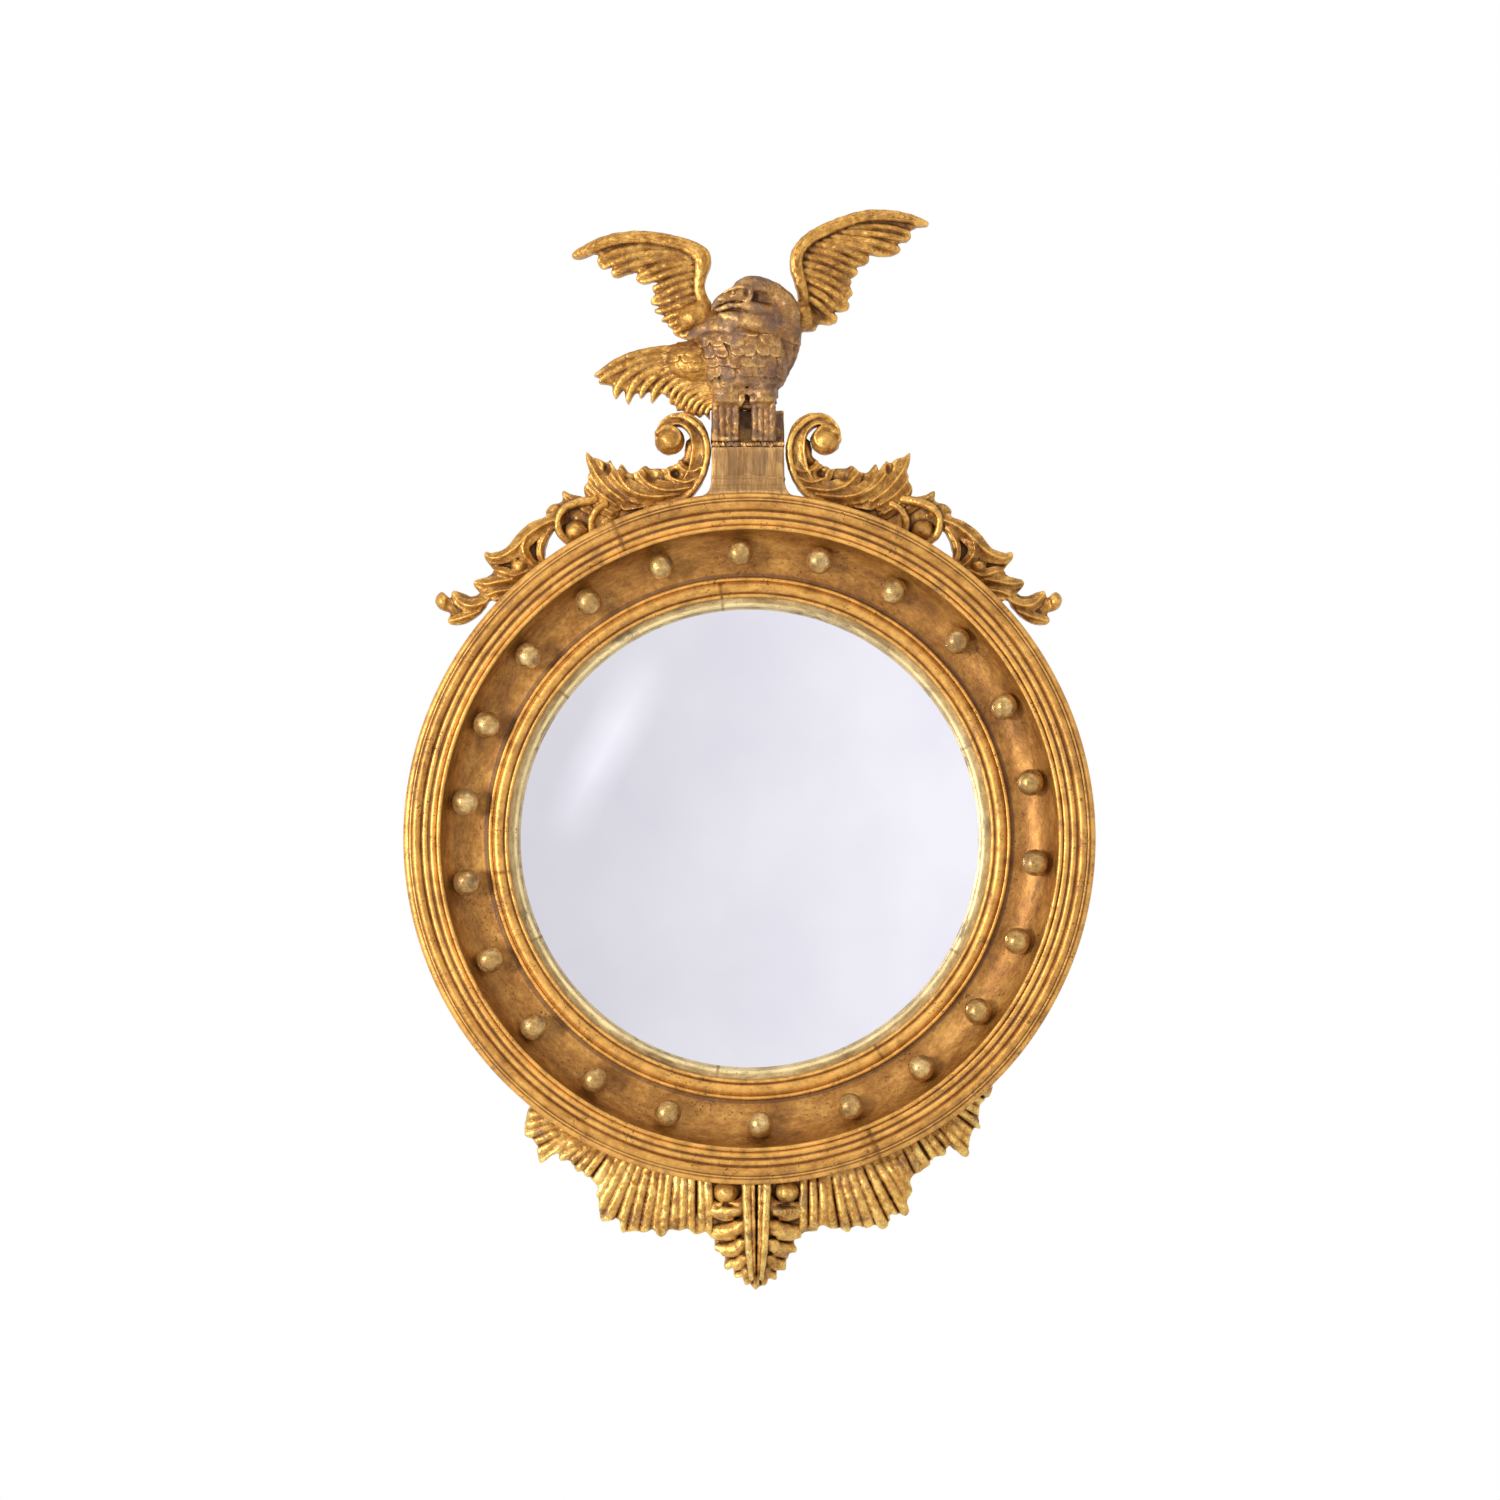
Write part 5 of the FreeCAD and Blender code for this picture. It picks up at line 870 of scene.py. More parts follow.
RIGHT_FEATHERS = [
    [(100, 616, 3.4, 0.62), (134, 615.5, 3.4, 0.66), (156, 610.5, 3.8, 0.66), (166, 607, 3, 0.58)],
    [(92, 611, 3.6, 0.62), (130, 607.5, 4, 0.68), (152, 603.6, 4, 0.66), (164, 602, 3, 0.56)],
    [(84, 606, 4, 0.64), (122, 600, 4.8, 0.72), (144, 594, 5, 0.66), (156, 592, 4, 0.56)],
    [(76, 602, 4, 0.66), (110, 595, 4.8, 0.74), (128, 589.6, 4.6, 0.66), (140, 586, 3.6, 0.54)],
    [(64, 599, 4.4, 0.68), (94, 592.4, 4.6, 0.74), (112, 585.5, 4.4, 0.66), (124, 581, 3.4, 0.54)],
    [(58, 594, 4, 0.68), (84, 587, 4.4, 0.74), (102, 580, 4.2, 0.66), (114, 576.4, 3.4, 0.54)],
    [(54, 587, 4, 0.68), (80, 580, 4.6, 0.74), (98, 572.6, 4.2, 0.66), (112, 568.5, 3.4, 0.54)],
    [(53, 579, 4, 0.68), (76, 572.4, 4.4, 0.74), (94, 564.8, 3.8, 0.64), (106, 560.6, 3, 0.54)],
    [(54, 571, 4, 0.68), (75, 564, 4.6, 0.74), (92, 555.4, 4, 0.64), (107, 549.6, 3.6, 0.54)],
    [(56, 563, 4, 0.68), (74, 555.4, 4.6, 0.74), (90, 545.4, 4.2, 0.64), (105, 538.6, 3.8, 0.54)],
    [(57, 554, 4.2, 0.68), (72, 546.4, 4.6, 0.72), (86, 535.4, 4.2, 0.64), (98, 529.6, 3.6, 0.54)],
    [(57, 545, 4.2, 0.66), (69, 536.6, 4.8, 0.72), (81, 526.4, 4.4, 0.64), (92, 521.6, 3.6, 0.54)],
    [(55, 535, 4.2, 0.66), (62, 527, 4.8, 0.7), (72, 519.4, 4.4, 0.62), (82, 514.6, 3.6, 0.54)],
    [(51, 525, 4.6, 0.66), (55, 518, 5, 0.68), (61, 512.4, 4.4, 0.6), (70, 508, 3, 0.54)],
]
LEFT_RAIL = [(-38, 524, 6.4, 0.74), (-48, 543, 6, 0.84), (-50.6, 556, 5.6, 0.92), (-49, 567.5, 6.2, 0.98),
             (-46.9, 577, 7.8, 1.0), (-48.4, 586, 8.2, 1.0), (-58, 593.2, 7, 1.0), (-73, 598.6, 6.3, 1.0),
             (-91, 602.6, 6.1, 0.98), (-111, 604.4, 6.1, 0.94), (-131, 603, 6.1, 0.9),
             (-149, 598.4, 5.9, 0.84), (-163, 592.1, 5.6, 0.78), (-171.5, 588, 4.6, 0.72),
             (-176, 586.6, 2.8, 0.64)]
LEFT_LOWER = [(-160, 588), (-152.5, 587), (-153.3, 580), (-150, 575), (-145, 573.6), (-138, 575.5),
              (-139.5, 570), (-136, 565.6), (-131, 564.6), (-122, 568), (-113, 569.5), (-114, 563),
              (-111, 559.6), (-106, 558.6), (-95, 560.5), (-93, 559), (-97.5, 556), (-97.5, 552),
              (-95, 548), (-99.5, 541), (-98.5, 538), (-92, 536.6), (-91, 535), (-95.5, 533),
              (-95, 530), (-90, 528), (-86, 526), (-88.6, 521), (-83, 519), (-82, 516), (-78, 513),
              (-76, 508), (-66, 503), (-46, 503)]
LEFT_FEATHERS = [
    [(-68, 594, 4.2, 0.68), (-108, 595.5, 4.6, 0.7), (-136, 589, 4.6, 0.66), (-154, 581, 3.8, 0.56)],
    [(-62, 590, 4.2, 0.7), (-104, 588.6, 4.6, 0.72), (-130, 581.6, 4.6, 0.66), (-148, 572, 3.8, 0.56)],
    [(-58, 585, 4.2, 0.7), (-96, 582.6, 4.6, 0.74), (-124, 574.4, 4.6, 0.66), (-142, 566, 3.8, 0.54)],
    [(-56, 579.6, 4, 0.7), (-84, 576.4, 4.6, 0.74), (-102, 569.8, 4.4, 0.66), (-118, 560.6, 3.6, 0.54)],
    [(-55, 573.6, 4, 0.7), (-80, 568.6, 4.4, 0.74), (-98, 562, 4, 0.64), (-110, 558.6, 3, 0.54)],
    [(-54, 567, 4, 0.7), (-74, 561.6, 4.4, 0.74), (-90, 555.2, 4, 0.64), (-101, 551.6, 3, 0.54)],
    [(-54, 560, 4.2, 0.7), (-73, 553.6, 4.6, 0.74), (-89, 546, 4, 0.64), (-101, 542.6, 3, 0.54)],
    [(-53, 552.4, 4.2, 0.7), (-70, 546, 4.4, 0.74), (-87, 538.8, 3.8, 0.64), (-101, 536.4, 2.8, 0.54)],
    [(-51, 544.6, 4.2, 0.7), (-68, 538.6, 4.4, 0.74), (-83, 532, 3.8, 0.64), (-98, 529, 2.8, 0.54)],
    [(-49, 537, 4.2, 0.7), (-65, 531.4, 4.4, 0.74), (-79, 525.2, 3.8, 0.64), (-92, 520.6, 2.8, 0.54)],
    [(-47, 529, 4.4, 0.7), (-63, 523.8, 4.4, 0.72), (-75, 518.4, 3.8, 0.64), (-86, 514.2, 2.8, 0.54)],
    [(-45, 520.6, 4.6, 0.7), (-60, 516.4, 4.4, 0.7), (-71, 511.6, 3.8, 0.62), (-80, 507.6, 2.8, 0.54)],
    [(-42, 511.6, 4.6, 0.7), (-56, 508.8, 4.4, 0.7), (-67, 504.6, 3.6, 0.6)],
]


def build_wing(name, rail, feathers, lower, root, low, high, node, seed):
    carving = Carving(low, high, 0.9)
    back, relief = 14.2, 23.6
    sheet = [(x, z) for x, z, half, share in rail[:-1]] + lower
    inside = carving.sheet(sheet, back, relief * 0.56, 4)
    for feather in feathers:
        carving.stroke(feather, back, relief, "round", 1.2, 0.6)
    carving.trim(inside)
    carving.stroke(rail, back, relief, "flat", 3.4)
    # The rail is a band with a fine line cut along its inner side.
    inner = [(x, z, half * 0.62, share * 1.03) for x, z, half, share in rail[:-1]]
    carving.stroke(inner, back, relief, "round", 2.0, 1.6)
    # The rounded root that carries the wing on the shoulder.
    carving.ellipsoid(*root, 4.0)
    uneven(carving, 4.5, 0.26, seed)
    return carving.finish(name, "gilt_carving", node)


TAIL_OUTLINE = [(-36, 502), (-60, 500), (-72, 499), (-77, 495.4), (-92, 494.6), (-105, 493), (-118, 489.5),
                (-130, 484), (-140, 479), (-150, 471), (-156.5, 465.4), (-150, 462.4), (-151, 457),
                (-139, 455), (-138, 449), (-134, 441.6), (-127, 450), (-125, 443), (-121.5, 435.8),
                (-116, 445), (-112, 447.6), (-109, 442), (-100, 449), (-98.3, 437), (-88, 447),
                (-83, 443), (-80.4, 443), (-80.2, 436.6), (-74, 434.6), (-73, 429.6), (-68, 430.6),
                (-65, 427.6), (-59, 423.6), (-55, 425.6), (-50, 422.6), (-45, 426.6), (-36, 423)]
TAIL_RIBS = [
    [(-44, 491, 4.6, 0.9), (-78, 490.8, 4, 0.9), (-106, 487.6, 4, 0.86), (-131, 479.4, 4, 0.8),
     (-150, 467.6, 3.2, 0.7), (-157, 463.6, 1.6, 0.6)],
    [(-44, 485, 4.2, 0.92), (-78, 484.6, 3.6, 0.88), (-106, 480.8, 4.2, 0.84), (-132, 471.4, 4.6, 0.76),
     (-150, 460, 3.4, 0.64)],
    [(-44, 480, 4, 0.92), (-80, 479.6, 3.4, 0.88), (-106, 474.2, 4.4, 0.82), (-125, 463.2, 5, 0.74),
     (-134, 450, 3.6, 0.62), (-134, 441, 1.6, 0.54)],
    [(-44, 475.4, 4, 0.92), (-78, 474.4, 3.4, 0.86), (-100, 468.4, 4.4, 0.8), (-115, 457, 4.8, 0.72),
     (-121.5, 443, 3, 0.6), (-121.5, 435, 1.3, 0.52)],
    [(-44, 471, 4, 0.92), (-76, 469.4, 3.4, 0.86), (-94, 463.6, 4.2, 0.8), (-105.6, 452.6, 4, 0.7),
     (-109.4, 441, 1.8, 0.56)],
    [(-44, 466.6, 4, 0.92), (-70, 465, 3.2, 0.86), (-86, 459.4, 4, 0.8), (-95.6, 448.4, 3.6, 0.68),
     (-98.6, 436.6, 1.6, 0.54)],
    [(-44, 462, 3.8, 0.9), (-66, 460.8, 3, 0.84), (-79, 455.4, 3.6, 0.78), (-87.4, 444.6, 2.8, 0.62)],
    [(-42, 457.6, 3.6, 0.9), (-61, 456.6, 2.9, 0.84), (-73, 451.2, 3.4, 0.78), (-81, 438.6, 2.4, 0.6)],
    [(-41, 453.6, 3.6, 0.9), (-57, 452.4, 2.8, 0.84), (-68, 447, 3.3, 0.78), (-75, 433, 2.2, 0.58)],
    [(-40, 449.6, 3.4, 0.9), (-53, 448.4, 2.7, 0.84), (-63, 442.6, 3.1, 0.78), (-69, 429.6, 2.2, 0.58)],
    [(-38, 446, 3.4, 0.9), (-49, 444.4, 2.6, 0.84), (-58, 438.6, 3, 0.78), (-63, 426.6, 2.2, 0.58)],
    [(-37, 442.4, 3.2, 0.9), (-45.6, 440.4, 2.5, 0.84), (-53, 434.4, 2.9, 0.78), (-57, 424.4, 2.2, 0.58)],
    [(-36, 438.6, 3.2, 0.9), (-42.6, 436.4, 2.5, 0.84), (-48, 430.6, 2.7, 0.78), (-50.6, 422, 2.2, 0.58)],
    [(-35, 434, 3.2, 0.88), (-40.6, 431.6, 2.5, 0.82), (-44, 425.6, 2.4, 0.74)],
]


def build_tail():
    carving = Carving((-160, 18, 418), (-34, 62, 506), 0.8)
    back, relief = 22.2, 23.6
    inside = carving.sheet(TAIL_OUTLINE, back, relief * 0.6, 5)
    for rib in TAIL_RIBS:
        carving.stroke(rib, back, relief, "round", 0.8, 0.3)
    carving.trim(inside)
    # The flank's small feathers run out over the roots of the tail.
    carving.ellipsoid((-50, 38, 479), (33, 17, 20.5), 3)
    scaled(carving, 10, 8, 2.2, 27, 0.3,
           lambda a, b: np.clip(1.5 - np.hypot((a + 50) / 33, (b - 479) / 20), 0, 1)
           * np.clip((a + 92) / 8, 0, 1))
    x, _, z = carving.coordinates()
    carving.cut(np.minimum(x + 39.8, 431.0 - z))
    uneven(carving, 4.5, 0.24, 33)
    return carving.finish("eagle_tail_fan", "gilt_carving", "eagle_tail")


def build_leg(name, middle, half, node, seed):
    carving = Carving((middle - half - 4, 24, 392), (middle + half + 4, 68, 452), 0.7)
    back, relief = 27.8, 33.6
    carving.stroke([(middle, 446, half * 0.7, 0.66), (middle, 436, half * 0.86, 0.72)], back, relief,
                   "round", 2.5)
    carving.stroke([(middle, 430, half * 0.82, 0.72), (middle, 415, half * 0.84, 0.74),
                    (middle, 398.5, half * 0.9, 0.78)], back, relief, "flat", 3.0)
    for share in (-0.74, -0.26, 0.22, 0.68):
        across = middle + share * half
        carving.stroke([(across, 433, half * 0.27, 0.86), (across, 420, half * 0.28, 0.88),
                        (across, 406, half * 0.27, 0.9), (across, 400.5, half * 0.29, 0.96)], back, relief,
                       "round", 1.4, 0.8)
        carving.ellipsoid((across, back + relief * 0.86, 399), (half * 0.28, 4.6, 3.4), 0.8)
    carving.dig((middle - half * 0.05, back + relief, 433.8), (half * 1.0, 2.4, 1.2), 1.6)
    carving.cut(396.7 - carving.coordinates()[2])
    uneven(carving, 4, 0.35, seed)
    return carving.finish(name, "gilt_bird", node)


build_torso()
build_head()
build_wing("wing_right", RIGHT_RAIL, RIGHT_FEATHERS, RIGHT_LOWER, ((53, 29, 524), (12, 12, 14)),
           (38, 10, 502), (184, 44, 636), "eagle_right_wing", 31)
build_wing("wing_left", LEFT_RAIL, LEFT_FEATHERS, LEFT_LOWER, ((-54, 29, 524), (18, 12, 15)),
           (-182, 10, 500), (-30, 44, 615), "eagle_left_wing", 32)
build_tail()
build_leg("leg_left", -23.5, 14.0, "eagle_left_leg", 34)
build_leg("leg_right", 14.5, 12.2, "eagle_right_leg", 35)


# ---------------------------------------------------------------- scrolls and sprays

def sided(stations, side, nudge):
    """Stations are drawn for the left; the carver's right hand side differs a little."""
    if side < 0:
        return stations
    return [(-station[0] + nudge,) + tuple(station[1:]) for station in stations]


SCROLL_OUTLINE = [
    (-64, 400), (-54, 406), (-42, 402), (-39, 392), (-39.2, 382), (-43, 369), (-50, 357), (-60, 346),
    (-68, 337), (-110, 320), (-150, 304), (-163, 300), (-162, 322), (-160, 336), (-165.5, 346),
    (-166, 354), (-162, 359), (-162.5, 365), (-160.5, 368), (-163.5, 378), (-163.8, 388), (-158, 383.6),
    (-150, 381), (-144, 377.4), (-140, 380.6), (-136.4, 375), (-132.4, 369.4), (-130.6, 375.6),
    (-128, 376.6), (-124.4, 372.4), (-120, 368), (-112.4, 368.4), (-108.4, 373.4), (-104, 375.4),
    (-99, 372.4), (-90, 372.6), (-84.4, 370.6), (-81.6, 372.6), (-78, 374.6), (-72.2, 376.2),
    (-70.6, 380.4), (-66.4, 384.6), (-65.6, 392)]
SCROLL_BAND = [(-91.5, 401, 3.4, 0.8), (-88, 411, 4.4, 0.86), (-80.5, 418.2, 5.6, 0.9),
               (-70.5, 420.4, 6.2, 0.92), (-60.6, 417.2, 7.4, 0.92), (-52.4, 408.4, 8.6, 0.94),
               (-49.4, 395, 9, 0.94), (-50, 381, 9, 0.93), (-54.4, 366.6, 8.4, 0.88),
               (-62.8, 354, 7.6, 0.82), (-76, 345, 6.6, 0.76), (-96, 339.4, 5.8, 0.7),
               (-124, 334, 5, 0.64)]
SCROLL_RIM = [(-77, 422.6, 2.4, 0.9), (-68, 422.8, 3, 0.95), (-56.4, 417, 3.2, 1.0),
              (-46.6, 406, 3.3, 1.0), (-42.6, 393, 3.3, 1.0), (-43.2, 379, 3.2, 0.99),
              (-47.8, 364, 3.2, 0.93), (-56, 350.4, 3.2, 0.86), (-66, 341, 3, 0.78), (-84, 334, 3, 0.72),
              (-110, 327, 3, 0.68), (-140, 314, 3, 0.62)]
SCROLL_CRESTS = [
    [(-48, 372, 8, 0.94), (-56, 368, 8, 0.9), (-66, 369.6, 7, 0.82), (-73, 377, 4.6, 0.7)],
    [(-52, 361, 9, 0.92), (-64, 357, 9, 0.88), (-75, 360.4, 8, 0.8), (-83, 371, 5.4, 0.66)],
    [(-60, 351.6, 9, 0.88), (-80, 348.6, 10, 0.88), (-96, 352.4, 9.6, 0.82), (-106, 360, 8, 0.74),
     (-112.6, 368.6, 5.4, 0.64)],
    [(-70, 345, 8, 0.82), (-92, 342.6, 9, 0.84), (-109, 344.4, 9.6, 0.84), (-121, 351, 9.6, 0.8),
     (-129, 361, 8, 0.74), (-133.6, 370, 5.4, 0.64)],
    [(-112, 342.6, 8, 0.78), (-128, 353, 9, 0.8), (-138, 364, 9, 0.76), (-147, 375, 7, 0.68),
     (-152, 382, 4.6, 0.6)],
    [(-126, 338.6, 8, 0.74), (-142, 351, 9, 0.76), (-154, 366, 8.4, 0.7), (-161.4, 380, 6, 0.62),
     (-164, 388, 3.6, 0.56)],
    [(-134, 335, 7, 0.7), (-148, 344.6, 7.4, 0.7), (-158.6, 355.6, 6.6, 0.64), (-163.6, 364.6, 4, 0.56)],
    [(-138, 326.6, 7, 0.66), (-152, 335.6, 6.6, 0.66), (-162, 346.6, 5.4, 0.6), (-167, 354, 3, 0.52)],
]


def build_scroll(name, side, node, seed):
    nudge = -2.5
    low, high = ((-174, 12, 298), (-34, 56, 430)) if side < 0 else ((32, 12, 298), (172, 56, 430))
    carving = Carving(low, high, 0.85)
    back, relief = 16.2, 33.6
    inside = carving.sheet(sided(SCROLL_OUTLINE, side, nudge), back, relief * 0.5, 5)
    for crest in SCROLL_CRESTS:
        carving.stroke(sided(crest, side, nudge), back, relief, "cusp", 1.2, 0.8)
    carving.trim(inside)
    # Dark hollows under the tips of the leaves.
    for x, z, radius_x, radius_z in ((-60, 378, 6, 4.6), (-74.6, 366, 4.6, 4.4), (-98, 364, 6, 6),
                                     (-122, 364.6, 5, 7), (-143, 372, 4.4, 7)):
        place = sided([(x, back + relief * 0.72, z)], side, nudge)[0]
        carving.dig(place, (radius_x, relief * 0.24, radius_z), 2.5)
    carving.stroke(sided(SCROLL_BAND, side, nudge), back, relief, "trough", 1.6, 1.0)
    carving.stroke(sided(SCROLL_RIM, side, nudge), back, relief, "round", 1.4, 0.8)
    # The volute: a domed button with the band curling round it.
    eye_x = -80.0 if side < 0 else 76.0
    carving.ellipsoid((eye_x, back + 18, 399.3), (15, 15.6, 14.6), 1.2)
    spiral = []
    for step in range(10):
        turn = math.radians(150 - 40 * step)
        reach = 13.6 - 1.05 * step
        spiral.append((eye_x - side * reach * math.cos(turn), 400 + reach * math.sin(turn),
                       3.4 - 0.22 * step, 0.9 + 0.008 * step))
    carving.stroke(spiral, back, relief, "round", 1.6, 1.0)
    carving.seat()
    carving.above(back)
    uneven(carving, 5, 0.3, seed)
    return carving.finish(name, "gilt_carving", node)


SPRAY_OUTLINE = [
    (-152, 300), (-158, 345), (-166, 343.6), (-178, 345), (-187.5, 349.6), (-188.6, 340), (-198, 336),
    (-205.4, 329), (-204.4, 323), (-215, 319), (-225, 313), (-235, 303), (-243, 293), (-250, 289),
    (-258, 287), (-264.4, 288.4), (-266.4, 284), (-264, 278), (-258, 271), (-257, 269.6), (-260, 266),
    (-268, 262), (-275.4, 260), (-277.4, 255), (-274, 249.6), (-270, 246.6), (-280, 244), (-288, 247),
    (-297.4, 249.6), (-300, 243.4), (-303.4, 243.4), (-309, 248.6), (-315.4, 244), (-316.4, 238),
    (-312, 231), (-306, 228), (-301.4, 226.6), (-302.4, 222), (-303.4, 218), (-299, 214.8),
    (-290, 214.8), (-280, 219), (-272, 225), (-265, 233), (-259, 240), (-240, 236), (-190, 268),
    (-192, 276), (-204, 280), (-205.6, 285), (-203.6, 295), (-199.4, 305), (-193.4, 312),
    (-189, 305.6), (-183, 298.6), (-177, 296), (-168, 290)]
SPRAY_CRESTS = [
    [(-160, 332, 7, 0.72), (-170, 338, 6.6, 0.72), (-180, 342, 5.4, 0.66), (-188, 349, 3.6, 0.54)],
    [(-188, 322, 8, 0.84), (-206, 315, 9, 0.96), (-222, 304, 10, 1.0), (-234, 292, 10, 0.96),
     (-247, 283.4, 8, 0.86), (-258, 281.4, 6, 0.76), (-266, 285.4, 4, 0.62)],
    [(-214, 312, 6, 0.9), (-224, 301, 6.6, 0.98), (-227, 289, 6.6, 0.94), (-222, 279, 6.4, 0.8),
     (-214, 272, 6, 0.7)],
    [(-200, 311, 4, 0.84), (-208, 298, 4.4, 0.86), (-209.4, 285, 4.6, 0.8), (-203, 274, 5, 0.66)],
    [(-224, 268, 6, 0.74), (-236, 263.4, 6.4, 0.84), (-248, 267.4, 6, 0.84), (-258, 270, 4, 0.62)],
    [(-238, 260, 8, 0.8), (-252, 257.4, 8, 0.84), (-264, 255.4, 7, 0.76), (-276, 257.4, 5, 0.6)],
    [(-240, 250, 7, 0.76), (-254, 247.4, 6, 0.8), (-263, 244.4, 5, 0.76), (-271, 246.6, 3.4, 0.58)],
    [(-244, 242, 6, 0.7), (-262, 238, 7, 0.78), (-277, 233.4, 7.4, 0.8), (-289, 236.4, 6, 0.72),
     (-298, 246, 4, 0.56)],
    [(-262, 232, 5, 0.66), (-278, 225, 6.4, 0.74), (-290, 221, 6, 0.7), (-303, 218.4, 4, 0.56)],
]


def build_spray(name, side, node, seed):
    nudge = -1.5
    low, high = ((-320, 12, 208), (-142, 54, 354)) if side < 0 else ((140, 12, 208), (318, 54, 354))
    carving = Carving(low, high, 0.9)
    back, relief = 16.2, 29.6
    inside = carving.sheet(sided(SPRAY_OUTLINE, side, nudge), back, relief * 0.5, 5)
    for crest in SPRAY_CRESTS:
        carving.stroke(sided(crest, side, nudge), back, relief, "cusp", 1.2, 0.8)
    # Smooth knobs and curled tips.
    for x, z, depth, radii in ((-195.5, 329.6, 10, (9, 10, 8)), (-231.6, 273.4, 14, (9, 12, 8.6)),
                               (-308.4, 238.4, 9, (7, 9.5, 9)), (-297, 230, 8, (7, 8, 6)),
                               (-270, 255.6, 9, (7, 8, 5.6))):
        carving.ellipsoid(sided([(x, back + depth, z)], side, nudge)[0], radii, 1.0)
    carving.trim(inside)
    # The small volute in its curled surround, above the pierced hole.
    surround = [(-176, 296, 3, 0.7), (-185, 300.6, 3.6, 0.8), (-191.4, 309.6, 4, 0.9),
                (-191.4, 321.4, 4, 0.96), (-184.6, 331.4, 4, 0.98), (-172, 337, 4.4, 0.94),
                (-156, 340, 4.6, 0.84)]
    carving.stroke(sided(surround, side, nudge), back, relief, "round", 1.6, 0.8)
    eye_x = -174.5 if side < 0 else 173.5
    carving.dig((eye_x + 4 * side, back + 25, 318), (10, 11, 9), 2)
    carving.ellipsoid((eye_x, back + 15.6, 308.6), (11.4, 12.6, 11.2), 0.6)
    # The inner curl beside it, which runs on into the band along the rim.
    carving.stroke(sided([(-158, 308, 4, 0.7), (-158.6, 320, 4, 0.8), (-153, 330, 4, 0.84),
                          (-144, 335.4, 4, 0.8)], side, nudge), back, relief, "round", 1.6, 1.0)
    carving.seat()
    carving.above(back)
    uneven(carving, 5, 0.3, seed)
    return carving.finish(name, "gilt_carving", node)


build_scroll("scroll_left", -1, "left_scroll", 51)
build_scroll("scroll_right", 1, "right_scroll", 52)
build_spray("spray_left", -1, "left_leaf_spray", 53)
build_spray("spray_right", 1, "right_leaf_spray", 54)


# ---------------------------------------------------------------- apron

LEFT_FAN = [
    (-200, -258), (-219, -268), (-224, -280), (-225, -297), (-217, -302), (-213, -310), (-211, -323),
    (-208, -325.4), (-193, -315), (-190, -323), (-180, -323), (-177, -329), (-172, -334), (-167, -334),
    (-165, -338), (-160, -341), (-152, -349), (-154, -358), (-151, -362), (-150, -380), (-147, -384),
    (-131, -382), (-129, -392), (-126, -396), (-116, -393), (-106, -395), (-97, -392), (-92, -397),
    (-88, -400), (-80, -392), (-70, -393), (-62, -391), (-56, -396), (-52, -397), (-44, -394),
    (-38, -394), (-38, -320), (-120, -300), (-170, -266)]
RIGHT_FAN = [
    (222, -240), (243, -246), (241, -258), (236, -262), (231, -267), (230, -275), (230, -285),
    (232, -291), (225, -292), (222, -298), (220, -305), (220.5, -315), (218, -319.4), (212, -318),
    (206, -313), (200, -308), (198, -312), (196, -317), (190, -319), (185, -320), (181, -327),
    (177, -330), (172, -334), (165, -337), (161, -343), (162, -348), (163, -354), (159, -361),
    (158, -366), (160, -374), (157, -378.4), (150, -377), (141, -377), (141, -384), (138, -389),
    (133, -392), (125, -388), (117, -391), (108, -388), (103, -391), (98, -395), (92, -391), (82, -391),
    (73, -387), (70, -389), (67, -394), (55, -394), (50, -393), (50, -320), (120, -300), (190, -246)]
LEFT_PLEATS = [
    ((-192, -262), (-221, -270), 4, 5), ((-190, -270), (-226, -279), 4, 5),
    ((-187, -277), (-229, -289), 4, 5), ((-184, -283), (-227, -299), 4, 5),
    ((-180, -288), (-218, -306), 4, 4.6), ((-176, -291), (-215, -317), 4, 5),
    ((-171, -295), (-212, -327), 4, 5), ((-165, -298), (-197, -317), 4, 4.4),
    ((-160, -301), (-192, -324), 4, 4.6), ((-155, -304), (-182, -326), 4, 4.4),
    ((-149, -306), (-175, -335), 4, 5), ((-142, -310), (-167, -340), 4.4, 5),
    ((-135, -313), (-157, -351), 4.4, 6), ((-128, -315), (-155, -364), 4.6, 6),
    ((-121, -317), (-153, -378), 4.6, 6.4), ((-114, -320), (-145, -388), 4.6, 6.4),
    ((-107, -322), (-131, -396), 4.6, 6.4), ((-100, -324), (-118, -398), 4.6, 6),
    ((-93, -326), (-106, -399), 4.6, 6), ((-86, -328), (-94.6, -401), 4.4, 5.6),
    ((-79, -330), (-86.6, -403), 4.4, 5.4), ((-72, -331), (-76.6, -397), 4.4, 5.4),
    ((-65, -333), (-67, -397), 4.2, 5.2), ((-57, -335), (-57.6, -400), 4.2, 5.2),
    ((-49, -336), (-48.6, -399), 4.2, 5.2), ((-42, -336), (-40, -399), 4, 5),
]
